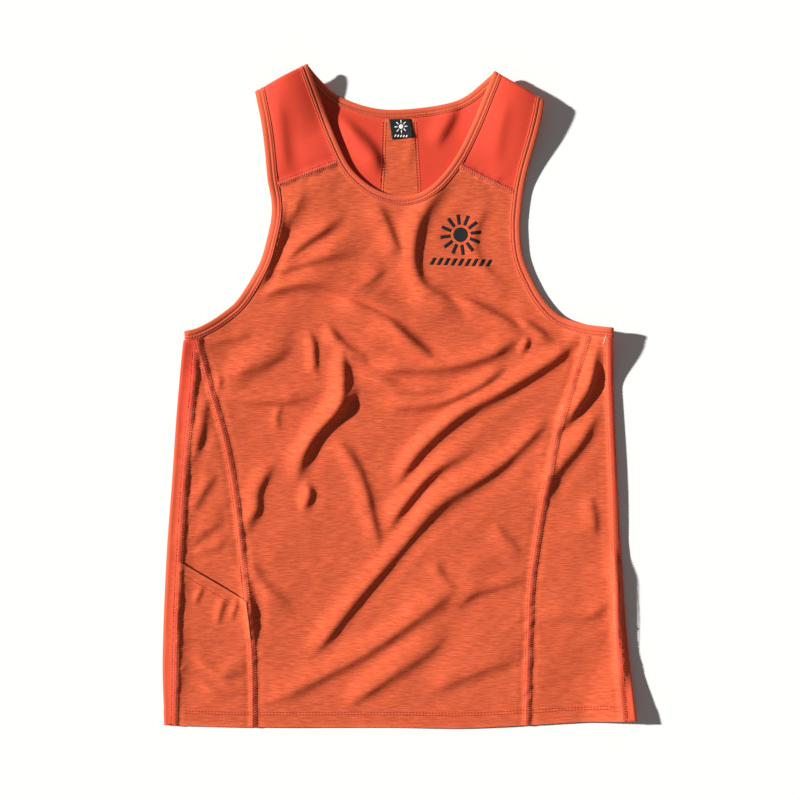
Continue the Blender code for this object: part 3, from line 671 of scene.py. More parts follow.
def spread(outline, step, lines=NO_LINES):
    """Grid points inside the outline, and finer rows of points on the given lines."""
    low, high = outline.min(axis=0), outline.max(axis=0)
    rows = np.arange(low[1] + step / 2, high[1], step * 0.87)
    across = np.arange(low[0], high[0], step)
    x, y = np.meshgrid(across, rows)
    x = x + (np.arange(len(rows)) % 2)[:, None] * step / 2
    grid = np.stack([x.ravel(), y.ravel()], axis=1)
    grid = grid[inside(grid, outline, step * 0.6)]
    if not len(lines):
        return grid
    lines = lines[inside(lines, outline, 0.9)]
    cell = step * 0.5
    taken = {tuple(spot) for spot in np.round(lines / cell).astype(int)}
    clear = [
        not any((u + du, v + dv) in taken for du in (-1, 0, 1) for dv in (-1, 0, 1))
        for u, v in np.round(grid / cell).astype(int)
    ]
    return np.vstack([grid[clear], lines])


def rim(outline, depth=RIM_DEPTH):
    """Points just inside an outline, so that its edge stays crisp when shaded smooth."""
    ahead, behind = np.roll(outline, -1, axis=0), np.roll(outline, 1, axis=0)
    along = ahead - behind
    along /= np.maximum(np.linalg.norm(along, axis=1), 1e-9)[:, None]
    across = np.stack([-along[:, 1], along[:, 0]], axis=1)
    area = np.sum(outline[:, 0] * ahead[:, 1] - ahead[:, 0] * outline[:, 1])
    ring = outline + across * depth * np.sign(area)
    return ring[inside(ring, outline, depth * 0.7)]


def triangulated(outline, inner, tolerance):
    """Points and triangles that fill an outline, with the inner points among them."""
    flat = [tuple(spot) for spot in np.vstack([outline, inner])]
    loop = list(range(len(outline)))
    points, _, triangles, _, _, _ = delaunay_2d_cdt(flat, [], [loop], 1, tolerance)
    return np.array([tuple(spot) for spot in points]), np.array(triangles)


def wall_faces(triangles, count, first=0):
    """Faces of a closed wall: the outer triangles, the same turned over behind them, and the rim."""
    seen = {}
    for triangle in triangles.tolist():
        for pair in zip(triangle, triangle[1:] + triangle[:1]):
            key = (min(pair), max(pair))
            seen[key] = None if key in seen else pair
    faces = triangles.tolist() + (triangles[:, ::-1] + count).tolist()
    faces += [(b, a, a + count, b + count) for a, b in filter(None, seen.values())]
    return [[corner + first for corner in corners] for corners in faces]


def new_piece(name, corners, faces, material, uv=None, edge=None):
    """A smooth mesh object from corners in millimetres. The edge attribute says where its colour is
    paler: worn fuzz along cut edges, a painted highlight along a binding's folded edge.
    """
    mesh = bpy.data.meshes.new(name)
    mesh.from_pydata((np.asarray(corners) * MM).tolist(), [], faces)
    if edge is not None:
        fuzz_and_highlight = mesh.attributes.new("edge", "FLOAT", "POINT")
        fuzz_and_highlight.data.foreach_set("value", np.asarray(edge, np.float32))
    if uv is not None:
        layer = mesh.uv_layers.new(name="cut")
        corner_of = np.empty(len(mesh.loops), np.int32)
        mesh.loops.foreach_get("vertex_index", corner_of)
        layer.uv.foreach_set("vector", (np.asarray(uv)[corner_of] * MM).astype(np.float32).ravel())
    shape = bmesh.new()
    shape.from_mesh(mesh)
    if shape.calc_volume(signed=True) < 0:
        bmesh.ops.reverse_faces(shape, faces=shape.faces[:])
    shape.to_mesh(mesh)
    shape.free()
    mesh.polygons.foreach_set("use_smooth", [True] * len(mesh.polygons))
    piece = bpy.data.objects.new(name, mesh)
    bpy.context.scene.collection.objects.link(piece)
    mesh.materials.append(material)
    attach(piece, BODY)
    return piece


def shell(name, outline, surface, step, thick, material, outer=1, lines=NO_LINES, relief=None):
    """A closed thin wall over the outline. The relief stands out of its outer face."""
    inner = np.vstack([rim(outline), spread(outline, step, lines)])
    flat, triangles = triangulated(outline, inner, 1e-4)
    right, up = np.array([PROBE, 0]), np.array([0, PROBE])
    along = surface(flat + right)[0] - surface(flat - right)[0]
    across = surface(flat + up)[0] - surface(flat - up)[0]
    normal = np.cross(along, across)
    normal /= np.maximum(np.linalg.norm(normal, axis=1), 1e-9)[:, None]
    middle, share = surface(flat)
    stand = relief(middle, share)[:, None] if relief else 0.0
    outside = middle + normal * outer * (thick / 2 + stand)
    lining = middle - normal * outer * thick / 2
    stretched = flat.copy()
    stretched[:, 1] += FOLD_STRETCH * read_field("folds", *middle.T[:2])
    near = KDTree(len(outline))
    for index, spot in enumerate(outline):
        near.insert((*spot, 0), index)
    near.balance()
    edge = np.array([1 - min(1, near.find((*spot, 0))[2] / FUZZ_AND_HIGHLIGHT_REACH) for spot in flat])
    return new_piece(name, np.vstack([outside, lining]), wall_faces(triangles, len(flat)), material,
                     np.vstack([stretched, stretched]), np.concatenate([edge, edge]))


def finish_sheet(nodes):
    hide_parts(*nodes)


# Materials -----------------------------------------------------------------------------------------

def link(tree, source, target):
    tree.links.new(source, target)


def add(nodes, kind, **values):
    """A new node with the given attributes; keys that name an input set its value."""
    node = nodes.new(kind)
    for key, value in values.items():
        if hasattr(node, key):
            setattr(node, key, value)
        else:
            node.inputs[key.replace("_", " ")].default_value = value
    return node


def new_socket(tree, name, kind, in_out="INPUT"):
    return tree.interface.new_socket(name=name, in_out=in_out, socket_type="NodeSocket" + kind)


def math_node(tree, operation, a, b):
    """Result socket of a sum, product and the like of sockets or numbers."""
    node = add(tree.nodes, "ShaderNodeMath", operation=operation)
    for socket, value in zip(node.inputs, (a, b)):
        if isinstance(value, (int, float)):
            socket.default_value = value
        else:
            link(tree, value, socket)
    return node.outputs[0]


def knit_group():
    """Shader group of a knit: dashes along the courses, soft shade, and the height of its loops."""
    if "Knit" in bpy.data.node_groups:
        return bpy.data.node_groups["Knit"]
    tree = bpy.data.node_groups.new("Knit", "ShaderNodeTree")
    new_socket(tree, "Cut", "Vector").hide_value = True
    for name, value in (("Dash Length", 0.011), ("Course", 0.00155), ("Wale", 0.0011)):
        new_socket(tree, name, "Float").default_value = value
    for name in ("Dash", "Shade", "Height"):
        new_socket(tree, name, "Float", "OUTPUT")
    start, end = tree.nodes.new("NodeGroupInput"), tree.nodes.new("NodeGroupOutput")
    split = tree.nodes.new("ShaderNodeSeparateXYZ")
    link(tree, start.outputs["Cut"], split.inputs[0])
    x, y = split.outputs[0], split.outputs[1]
    course = math_node(tree, "DIVIDE", y, start.outputs["Course"])
    run = math_node(tree, "DIVIDE", x, start.outputs["Dash Length"])
    dashes = tree.nodes.new("ShaderNodeCombineXYZ")
    link(tree, run, dashes.inputs[0])
    link(tree, course, dashes.inputs[1])
    long_noise = add(tree.nodes, "ShaderNodeTexNoise", Scale=1.0, Detail=2.0, Roughness=0.62)
    link(tree, dashes.outputs[0], long_noise.inputs["Vector"])
    ramp = add(tree.nodes, "ShaderNodeMapRange", interpolation_type="SMOOTHSTEP",
               From_Min=0.38, From_Max=0.66)
    link(tree, long_noise.outputs[0], ramp.inputs["Value"])
    link(tree, ramp.outputs[0], end.inputs["Dash"])
    soft = add(tree.nodes, "ShaderNodeTexNoise", Scale=16.0, Detail=2.0)
    link(tree, start.outputs["Cut"], soft.inputs["Vector"])
    link(tree, soft.outputs[0], end.inputs["Shade"])
    height = math_node(tree, "MULTIPLY", ramp.outputs[0], -0.6)
    wale = math_node(tree, "DIVIDE", x, start.outputs["Wale"])
    for count, rise in ((course, 0.3), (wale, 0.09)):
        ripple = math_node(tree, "SINE", math_node(tree, "MULTIPLY", count, math.tau), 0.0)
        height = math_node(tree, "ADD", height, math_node(tree, "MULTIPLY", ripple, rise))
    link(tree, height, end.inputs["Height"])
    return tree


def mixed_colour(tree, factor, low, high):
    """Colour socket that goes from one colour to another with a factor socket."""
    node = tree.nodes.new("ShaderNodeMix")
    node.data_type = "RGBA"
    node.inputs[6].default_value = low
    node.inputs[7].default_value = high
    link(tree, factor, node.inputs[0])
    return node


def roughness(tree, socket, middle, spread=0.07):
    """Roughness socket that varies about a middle value with a socket from 0 to 1."""
    node = add(tree.nodes, "ShaderNodeMapRange", To_Min=middle - spread, To_Max=middle + spread)
    link(tree, socket, node.inputs["Value"])
    return node.outputs[0]


def fuzz_and_highlight_factor(tree, mottle):
    """Factor of the paler edge colour, broken up by a mottle: worn fuzz along the cut edges of a panel,
    and a painted highlight along the folded edge of a binding.
    """
    edge = add(tree.nodes, "ShaderNodeAttribute", attribute_name="edge")
    patch = add(tree.nodes, "ShaderNodeMapRange", From_Min=0.35, From_Max=0.65, To_Min=0.15, To_Max=0.6)
    link(tree, mottle, patch.inputs["Value"])
    return math_node(tree, "MULTIPLY", edge.outputs["Fac"], patch.outputs[0])


def new_material(name, ground, specular):
    """A material, its node tree and its shader."""
    material = bpy.data.materials.new(name)
    material.use_nodes = True
    material.diffuse_color = tuple(ground)
    shader = material.node_tree.nodes["Principled BSDF"]
    shader.inputs["Specular IOR Level"].default_value = specular
    return material, material.node_tree, shader


def dress(tree, shader, base, rough, relief, strength, distance):
    """Gives the shader its colour, its roughness and its bump from sockets."""
    link(tree, base, shader.inputs["Base Color"])
    link(tree, rough, shader.inputs["Roughness"])
    bump = add(tree.nodes, "ShaderNodeBump", Strength=strength, Distance=distance)
    link(tree, relief, bump.inputs["Height"])
    link(tree, bump.outputs[0], shader.inputs["Normal"])


def toned(ground, share, more=0.0):
    """A colour made darker or paler, at full cover."""
    return tuple(min(1, c * share + more) for c in ground[:3]) + (1,)


def fabric(name, ground, dash, strength, course, dash_length, bump, sheen=0.05, rough=0.82):
    """Material of a knit: ground and dash colours, and how strongly its courses stand out."""
    if name in bpy.data.materials:
        return bpy.data.materials[name]
    material, tree, shader = new_material(name, ground, 0.2)
    shader.inputs["Sheen Weight"].default_value = sheen
    shader.inputs["Sheen Roughness"].default_value = 0.45
    shader.inputs["Sheen Tint"].default_value = (1.0, 0.55, 0.38, 1)
    cut = add(tree.nodes, "ShaderNodeUVMap", uv_map="cut")
    knit = tree.nodes.new("ShaderNodeGroup")
    knit.node_tree = knit_group()
    knit.inputs["Course"].default_value = course
    knit.inputs["Dash Length"].default_value = dash_length
    link(tree, cut.outputs[0], knit.inputs["Cut"])
    factor = math_node(tree, "MULTIPLY", knit.outputs["Dash"], strength)
    drawn = mixed_colour(tree, factor, tuple(ground), tuple(dash))
    shade = add(tree.nodes, "ShaderNodeMapRange", To_Min=0.95, To_Max=1.05)
    link(tree, knit.outputs["Shade"], shade.inputs["Value"])
    shaded = add(tree.nodes, "ShaderNodeVectorMath", operation="SCALE")
    link(tree, drawn.outputs[2], shaded.inputs[0])
    link(tree, shade.outputs[0], shaded.inputs["Scale"])
    # Paler colour towards edges: worn fuzz on the cut edges of panels, and a painted highlight on the
    # folded edge of a binding.
    pale = toned(ground, 1.3, 0.02)
    fuzz_and_highlight = mixed_colour(tree, fuzz_and_highlight_factor(tree, knit.outputs["Shade"]), pale, pale)
    link(tree, shaded.outputs[0], fuzz_and_highlight.inputs[6])
    dress(tree, shader, fuzz_and_highlight.outputs[2], roughness(tree, knit.outputs["Dash"], rough),
          knit.outputs["Height"], bump, 0.0004)
    return material


# Threads, print and label. Columns: colour, roughness, scale of the mottle, strength of the bump.
SPUN = {
    "sewing_thread": ("thread", 0.6, 2200.0, 0.4),
    "looper_thread": ("cover", 0.7, 1800.0, 0.4),
    "seam_thread": ("seam", 0.7, 1800.0, 0.4),
    "print_black": ("print_black", 0.8, 900.0, 0.05),
    "label_black": ("print_black", 0.7, 1500.0, 0.5),
    "label_white": ("label_mark", 0.7, 1500.0, 0.3),
}


def spun(name, colours):
    """Material of thread, print or a woven label: fine mottle on object coordinates."""
    if name in bpy.data.materials:
        return bpy.data.materials[name]
    colour_name, rough, scale, bump = SPUN[name]
    ground = getattr(colours, colour_name)
    material, tree, shader = new_material(name, ground, 0.3)
    place = tree.nodes.new("ShaderNodeTexCoord")
    noise = add(tree.nodes, "ShaderNodeTexNoise", Scale=scale, Detail=3.0)
    link(tree, place.outputs["Object"], noise.inputs["Vector"])
    drawn = mixed_colour(tree, noise.outputs[0], toned(ground, 0.75), toned(ground, 1.25))
    dress(tree, shader, drawn.outputs[2], roughness(tree, noise.outputs[0], rough),
          noise.outputs[0], bump, 0.0003)
    return material


def jersey(colours):
    return fabric("jersey_knit", colours.jersey, colours.dash, strength=0.72, course=0.00062,
                  dash_length=0.013, bump=0.6)


def red_knit(colours):
    """Smooth red knit, paler and warmer below the arms."""
    name = "side_knit"
    if name in bpy.data.materials:
        return bpy.data.materials[name]
    material = fabric(name, colours.red, toned(colours.red, 0.86), strength=0.35, course=0.0009,
                      dash_length=0.0035, bump=0.22, sheen=0.08, rough=0.7)
    tree = material.node_tree
    shader = tree.nodes["Principled BSDF"]
    drawn = shader.inputs["Base Color"].links[0].from_socket
    place = tree.nodes.new("ShaderNodeTexCoord")
    split = tree.nodes.new("ShaderNodeSeparateXYZ")
    link(tree, place.outputs["Object"], split.inputs[0])
    low = add(tree.nodes, "ShaderNodeMapRange", interpolation_type="SMOOTHSTEP",
              From_Min=0.07, From_Max=-0.12, To_Min=0.0, To_Max=0.75)
    link(tree, split.outputs[1], low.inputs["Value"])
    warmed = mixed_colour(tree, low.outputs[0], tuple(colours.red), tuple(colours.warm))
    tree.links.remove(shader.inputs["Base Color"].links[0])
    link(tree, drawn, warmed.inputs[6])
    link(tree, warmed.outputs[2], shader.inputs["Base Color"])
    return material


def binding_cloth(colours):
    return fabric("binding_knit", colours.binding, toned(colours.binding, 0.8), strength=0.45,
                  course=0.0012, dash_length=0.003, bump=0.3)


# Threads -------------------------------------------------------------------------------------------

def stitch_tree():
    """Geometry nodes: stitches along paths, swaying from side to side where asked."""
    if "Stitches" in bpy.data.node_groups:
        return bpy.data.node_groups["Stitches"]
    tree = bpy.data.node_groups.new("Stitches", "GeometryNodeTree")
    new_socket(tree, "Geometry", "Geometry")
    for name, value in (("Pitch", 0.0026), ("Sway", 0.0), ("Fill", 0.86), ("Thickness", 0.0005)):
        new_socket(tree, name, "Float").default_value = value
    new_socket(tree, "Thread", "Material")
    new_socket(tree, "Geometry", "Geometry", "OUTPUT")
    nodes = tree.nodes
    start, end = nodes.new("NodeGroupInput"), nodes.new("NodeGroupOutput")
    curve = nodes.new("GeometryNodeMeshToCurve")
    even = add(nodes, "GeometryNodeResampleCurve", mode="LENGTH")
    up = add(nodes, "GeometryNodeInputNamedAttribute", data_type="FLOAT_VECTOR", Name="up")
    tangent = nodes.new("GeometryNodeInputTangent")
    side = add(nodes, "ShaderNodeVectorMath", operation="CROSS_PRODUCT")
    unit = add(nodes, "ShaderNodeVectorMath", operation="NORMALIZE")
    swing = add(nodes, "ShaderNodeVectorMath", operation="SCALE")
    index = nodes.new("GeometryNodeInputIndex")
    odd = math_node(tree, "MODULO", index.outputs[0], 2.0)
    turn = math_node(tree, "MULTIPLY", math_node(tree, "SUBTRACT", odd, 0.5), 2.0)
    amount = math_node(tree, "MULTIPLY", turn, start.outputs["Sway"])
    moved = nodes.new("GeometryNodeSetPosition")
    rails = nodes.new("GeometryNodeCurveToMesh")
    ends = nodes.new("GeometryNodeInputMeshEdgeVertices")
    run = add(nodes, "ShaderNodeVectorMath", operation="SUBTRACT")
    store = add(nodes, "GeometryNodeStoreNamedAttribute", data_type="FLOAT_VECTOR", domain="EDGE",
                Name="run")
    spots = add(nodes, "GeometryNodeMeshToPoints", mode="EDGES")
    read = add(nodes, "GeometryNodeInputNamedAttribute", data_type="FLOAT_VECTOR", Name="run")
    aim = add(nodes, "FunctionNodeAlignRotationToVector", axis="X")
    length = add(nodes, "ShaderNodeVectorMath", operation="LENGTH")
    half = math_node(tree, "MULTIPLY", math_node(tree, "MULTIPLY", length.outputs["Value"], 0.5),
                     start.outputs["Fill"])
    thick = math_node(tree, "MULTIPLY", start.outputs["Thickness"], 0.5)
    size = nodes.new("ShaderNodeCombineXYZ")
    bead = add(nodes, "GeometryNodeMeshUVSphere", Segments=6, Rings=4, Radius=1.0)
    put = nodes.new("GeometryNodeInstanceOnPoints")
    real = nodes.new("GeometryNodeRealizeInstances")
    finish = nodes.new("GeometryNodeSetMaterial")
    for source, target in (
        (start.outputs["Geometry"], curve.inputs[0]), (curve.outputs[0], even.inputs["Curve"]),
        (start.outputs["Pitch"], even.inputs["Length"]), (tangent.outputs[0], side.inputs[0]),
        (up.outputs["Attribute"], side.inputs[1]), (side.outputs[0], unit.inputs[0]),
        (unit.outputs[0], swing.inputs[0]), (amount, swing.inputs["Scale"]),
        (even.outputs[0], moved.inputs["Geometry"]), (swing.outputs[0], moved.inputs["Offset"]),
        (moved.outputs[0], rails.inputs["Curve"]), (ends.outputs["Position 1"], run.inputs[1]),
        (ends.outputs["Position 2"], run.inputs[0]), (rails.outputs[0], store.inputs["Geometry"]),
        (run.outputs[0], store.inputs["Value"]), (store.outputs[0], spots.inputs["Mesh"]),
        (read.outputs["Attribute"], aim.inputs["Vector"]),
        (read.outputs["Attribute"], length.inputs[0]), (half, size.inputs[0]),
        (thick, size.inputs[1]), (thick, size.inputs[2]),
        (spots.outputs[0], put.inputs["Points"]), (bead.outputs[0], put.inputs["Instance"]),
        (aim.outputs[0], put.inputs["Rotation"]), (size.outputs[0], put.inputs["Scale"]),
        (put.outputs[0], real.inputs[0]), (real.outputs[0], finish.inputs["Geometry"]),
        (start.outputs["Thread"], finish.inputs["Material"]), (finish.outputs[0], end.inputs[0]),
    ):
        link(tree, source, target)
    return tree


def threads(name, paths, slot, material, pitch, thick, sway=0.0, fill=0.86):
    """Stitches along paths, each (points, upward vectors, closed), as one plain mesh piece."""
    corners, ups, edges = [], [], []
    for points, up, closed in paths:
        first = sum(len(part) for part in corners)
        corners.append(np.asarray(points) * MM)
        ups.append(np.asarray(up))
        count = len(points)
        edges += [(first + i, first + i + 1) for i in range(count - 1)]
        edges += [(first + count - 1, first)] if closed else []
    mesh = bpy.data.meshes.new(name + "_path")
    mesh.from_pydata(np.vstack(corners).tolist(), edges, [])
    mesh.attributes.new("up", "FLOAT_VECTOR", "POINT").data.foreach_set(
        "vector", np.vstack(ups).astype(np.float32).ravel())
    path = bpy.data.objects.new(name + "_path", mesh)
    bpy.context.scene.collection.objects.link(path)
    modifier = path.modifiers.new("Stitches", "NODES")
    modifier.node_group = stitch_tree()
    values = {"Pitch": pitch, "Sway": sway, "Fill": fill, "Thickness": thick, "Thread": material}
    for item in modifier.node_group.interface.items_tree:
        if item.in_out == "INPUT" and item.name in values:
            modifier[item.identifier] = values[item.name]
    bpy.context.view_layer.update()
    graph = bpy.context.evaluated_depsgraph_get()
    made = bpy.data.meshes.new_from_object(path.evaluated_get(graph))
    path.modifiers.clear()
    bpy.data.objects.remove(path)
    if not len(made.polygons):
        raise RuntimeError(name + ": the stitches came out empty")
    made.name = name
    made.polygons.foreach_set("use_smooth", [True] * len(made.polygons))
    piece = bpy.data.objects.new(name, made)
    bpy.context.scene.collection.objects.link(piece)
    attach(piece, BODY)
    return piece


LEFT_SIDE_LINE = smooth_curve(LEFT_SIDE, LINE_STEP)
LEFT_PRINCESS_LINE = smooth_curve(LEFT_PRINCESS, LINE_STEP)


def mouth_depth(x, y):
    """How far below the pocket's mouth a point lies."""
    start, end = x_at(LEFT_SIDE_LINE, POCKET_MOUTH[0]), x_at(LEFT_PRINCESS_LINE, POCKET_MOUTH[1])
    return POCKET_MOUTH[0] + (x - start) / (end - start) * (POCKET_MOUTH[1] - POCKET_MOUTH[0]) - y


def pocket_stand(x, y):
    """How far the pocket's outer panel stands off the panel behind it."""
    across = np.clip((x - POCKET_LEFT) / POCKET_WIDTH, 0, 1)
    near_mouth = np.exp(-((mouth_depth(x, y) / MOUTH_REACH) ** 2))
    sag = MOUTH_SAG * np.sin(math.pi * across) * near_mouth
    return POCKET_STAND - POCKET_SEWN * smoothstep((POCKET_FLOOR + 2 - y) / 5) + sag


def turned(x, y):
    """Share of the front layer near the side folds: less than 1 where the cloth turns down."""
    inside_fold = np.clip(from_side_folds(x, y), 0, TURN / 2)
    return upper_share(np.sqrt(2 * TURN * inside_fold))


def in_pocket(x, y):
    """1 over the pocket's outer panel, else 0."""
    left, right = x_at(LEFT_SIDE_LINE, y), x_at(LEFT_PRINCESS_LINE, y)
    return (x > left) & (x < right) & (mouth_depth(x, y) > 0)


def face(layer, x, y):
    """Height of the outer face of the front, or of the lining side of the back."""
    if layer == "back":
        return read_field("back", x, y)
    stand = read_field("relief", x, y) + np.where(in_pocket(x, y), pocket_stand(x, y), 0)
    return layered(x, y, turned(x, y)) + stand


def on_front(line, rise, layer="front", reach=1.2):
    """A line in the plane laid on the front of the garment, and its upward vectors."""
    x, y = line.T
    right, left = face(layer, x + reach, y), face(layer, x - reach, y)
    above, below = face(layer, x, y + reach), face(layer, x, y - reach)
    up = [(left - right) / (2 * reach), (below - above) / (2 * reach), np.ones(len(x))]
    up = np.stack(up, axis=1)
    up /= np.linalg.norm(up, axis=1)[:, None]
    middle = face(layer, x, y)
    if reach > 2:
        middle = np.maximum((right + left) / 2, middle) + 0.15
    return np.stack([x, y, middle], axis=1) + up * rise, up


def rows_beside(line, offsets, rise, layer="front", reach=1.2):
    """Paths on the front, beside a line at the given distances."""
    across = sideways(line)
    found = []
    for offset in offsets:
        points, up = on_front(line + across * offset, rise, layer, reach)
        found.append((points, up, False))
    return found


# Bindings ------------------------------------------------------------------------------------------

def turn_stations(corner, along, out, width):
    """Outer and inner edge, with their layer share, where a binding goes over a turn."""
    beyond = np.linspace(TURN, -TURN, 9)
    base = np.array(corner, float) + np.array(out) * TURN / 2
    outer = base - inward(beyond)[:, None] * np.array(out)
    return outer, outer + np.array(along) * width, upper_share(beyond)


def turn_outline(corner, along, out, width):
    """Unfolded points where a piece's edge follows a binding over a turn, from front to back."""
    beyond = np.linspace(TURN, -TURN, 9)[:, None] + TURN / 2
    return np.array(corner, float) + np.array(along) * width + beyond * np.array(out)


def clear_of_turns(curve, turns):
    clear = np.ones(len(curve), bool)
    for corner, out in turns:
        clear &= (np.array(corner) - curve) @ np.array(out) > TURN + 1
    return clear


def joined(parts):
    """Outer and inner edges in space from (outer, inner, share) parts in the plane."""
    outer = np.vstack([part[0] for part in parts])
    inner = np.vstack([part[1] for part in parts])
    share = np.concatenate([np.broadcast_to(part[2], len(part[0])) for part in parts])
    high_outer = layered(outer[:, 0], outer[:, 1], share) + BINDING_RISE
    high_inner = layered(inner[:, 0], inner[:, 1], share) + BINDING_RISE
    return np.column_stack([outer, high_outer]), np.column_stack([inner, high_inner])


def armhole_curves(side):
    front = smooth_curve(LEFT_ARMHOLE if side < 0 else RIGHT_ARMHOLE, LINE_STEP)
    return front, moved_in(front, BACK_TUCK)


def arm_path(side):
    front, back = armhole_curves(side)
    _, along, out = shoulder_line(side)
    turns = ((front[-1], out), (front[0], (side, 0)))
    parts = []
    for curve, share in ((front, 1.0), (back, 0.0)):
        clear = clear_of_turns(curve, turns)
        parts.append((curve[clear], moved_in(curve, ARM_BINDING_WIDTH)[clear], share))
    over = turn_stations(front[-1], -along, out, ARM_BINDING_WIDTH)
    under = turn_stations(front[0], (0, -1), (side, 0), ARM_BINDING_WIDTH)
    down = (parts[1][0][::-1], parts[1][1][::-1], 0.0)
    return joined([parts[0], over, down, tuple(values[::-1] for values in under)])


def neck_path():
    parts = []
    for rows, share in ((FRONT_NECK, 1.0), (BACK_NECK, 0.0)):
        curve = smooth_curve(rows, LINE_STEP)
        clear = clear_of_turns(curve, [shoulder_line(side)[::2] for side in (-1, 1)])
        parts.append((curve[clear], moved_in(curve, NECK_BINDING_WIDTH, NECK_CENTRE)[clear], share))
    turns = []
    for side in (1, -1):
        neck, along, out = shoulder_line(side)
        turns.append(turn_stations(neck, along, out, NECK_BINDING_WIDTH))
    back_way = (parts[1][0][::-1], parts[1][1][::-1], 0.0)
    return joined([parts[0], turns[0], back_way, tuple(values[::-1] for values in turns[1])])


def eased(points, rounds=3):
    """A closed path with its sharp turns eased."""
    for _ in range(rounds):
        points = (np.roll(points, 1, axis=0) + 2 * points + np.roll(points, -1, axis=0)) / 4
    return points


# Section of a binding. Columns: share of the width from the folded edge, share of half the thickness.
BINDING_SECTION = [
    (0.0, 0.0), (0.015, 0.45), (0.06, 0.80), (0.16, 1.05), (0.32, 1.1), (0.45, 0.95), (0.515, 0.62),
    (0.555, 0.28), (0.60, 0.62), (0.68, 0.8), (0.77, 0.8), (0.84, 0.62), (0.88, 0.28), (0.92, 0.6),
    (0.96, 0.62), (1.0, 0.4),
]
STITCH_ROWS = (0.555, 0.88)


def binding(name, path, thick, material, seed):
    """A closed bound edge with a soft section, and the paths of its two stitch rows on top."""
    outer, inner = eased(path[0]), eased(path[1])
    ahead = np.roll(outer, -1, axis=0) + np.roll(inner, -1, axis=0)
    behind = np.roll(outer, 1, axis=0) + np.roll(inner, 1, axis=0)
    along = ahead - behind
    step = np.linalg.norm(outer - np.roll(outer, 1, axis=0), axis=1)
    length = np.cumsum(step)
    across = inner - outer
    normal = np.cross(along, across)
    normal /= np.linalg.norm(normal, axis=1)[:, None]
    front = len(outer) // 4
    if normal[front, 2] < 0:
        normal = -normal
    ring = BINDING_SECTION + [(u, -v) for u, v in BINDING_SECTION[:0:-1]]
    draw = np.random.default_rng(seed)
    ripple = sum(
        0.10 * np.sin(length / (5.5 + 4 * k) + draw.uniform(0, math.tau)) for k in range(3)
    )
    rings = []
    for u, v in ring:
        swell = thick / 2 * v * (1 + 0.35 * ripple)
        rings.append(outer + across * u + normal * swell[:, None])
    count, sides = len(outer), len(ring)
    corners = np.vstack(rings)
    faces = []
    for k in range(sides):
        m = (k + 1) % sides
        for i in range(count):
            j = (i + 1) % count
            faces.append((k * count + i, k * count + j, m * count + j, m * count + i))
    uv = np.vstack([np.stack([length, np.full(count, u * 10 + (25 if v < 0 else 0))], axis=1)
                    for u, v in ring])
    # Painted highlight: the binding's colour is made paler towards its folded outer edge.
    fuzz_and_highlight = np.repeat([max(0.0, 1 - u / 0.2) for u, _ in ring], count)
    piece = new_piece(name, corners, faces, material, uv, fuzz_and_highlight)

    def on_both_sides(share, rise):
        return [(outer + across * share + normal * way * rise, normal * way, True) for way in (1, -1)]

    paths = [path for share in STITCH_ROWS for path in on_both_sides(share, thick / 2 * 0.3 + 0.16)]
    zigzag = on_both_sides(sum(STITCH_ROWS) / 2, thick / 2 * 0.8 + 0.1)
    return piece, paths, zigzag, float(length[-1])


# Operators -----------------------------------------------------------------------------------------

class SINGLET_OT_form(bpy.types.Operator):
    """Work out the lie of the cloth: lifts, creases, waves, seams and hem"""

    bl_idname = "singlet.form"
    bl_label = "Lie of the cloth"

    def execute(self, context):
        make_fields(context.scene.singlet_sizes)
        return {"FINISHED"}


def seam_rows():
    """Rows of points that keep the edges of the seams and the hem crisp in a front panel."""
    found = []
    for line in front_seams().values():
        across = sideways(line)
        found += [line + across * offset for offset in SEAM_MESH_ROWS]
    left_side = front_seams()["side_left"]
    found += [left_side + sideways(left_side) * side * offset
              for side in (-1, 1) for offset in SIDE_MESH_ROWS]
    found += [HEM_LINE + np.array([0, HEM_DEPTH + past]) for past in (-HEM_STEP, 0, 1.2)]
    return np.vstack(found)


class SINGLET_OT_front(bpy.types.Operator):
    """Make the front panel between the princess seams"""

    bl_idname = "singlet.front"
    bl_label = "Front panel"

    def execute(self, context):
        sizes, colours = context.scene.singlet_sizes, context.scene.singlet_colours
        left_arm = moved_in(armhole_curves(-1)[0], ARM_BINDING_WIDTH - TUCKED)
        right_arm = moved_in(armhole_curves(1)[0], ARM_BINDING_WIDTH - TUCKED)
        neck = neck_scoop(NECK_BINDING_WIDTH - TUCKED, LEFT_YOKE[1] - GAP, RIGHT_YOKE[1] - GAP)[::-1]
        left_low, right_low = hem_corner(LEFT_PRINCESS, GAP), hem_corner(RIGHT_PRINCESS, -GAP)
        left_top = y_at(left_arm, LEFT_PRINCESS[0][0])
        right_top = y_at(right_arm, RIGHT_PRINCESS[0][0])
        arm_up = between(right_arm, right_top, RIGHT_YOKE[0] - GAP)[1:]
        arm_down = between(left_arm, left_top, LEFT_YOKE[0] - GAP)[::-1]
        outline = np.vstack([
            hem_between(left_low[0], right_low[0]), seam(RIGHT_PRINCESS, -GAP, right_low[1], right_top),
            arm_up, straight(arm_up[-1], neck[0]), neck, straight(neck[-1], arm_down[0]), arm_down[:-1],
            seam(LEFT_PRINCESS, GAP, left_low[1], left_top)[::-1],
        ])
        piece = shell("front_panel", outline, flat_surface("front"), sizes.cell / MM, sizes.cloth / MM,
                      jersey(colours), lines=seam_rows(), relief=front_relief)
        finish_sheet(["front_centre"])
        return {"FINISHED"}


def front_relief(middle, share):
    return read_field("relief", middle[:, 0], middle[:, 1])


def back_relief(middle, share):
    x, y = middle[:, 0], middle[:, 1]
    return np.where(share > 0.5, read_field("relief", x, y), read_field("hem", x, y))


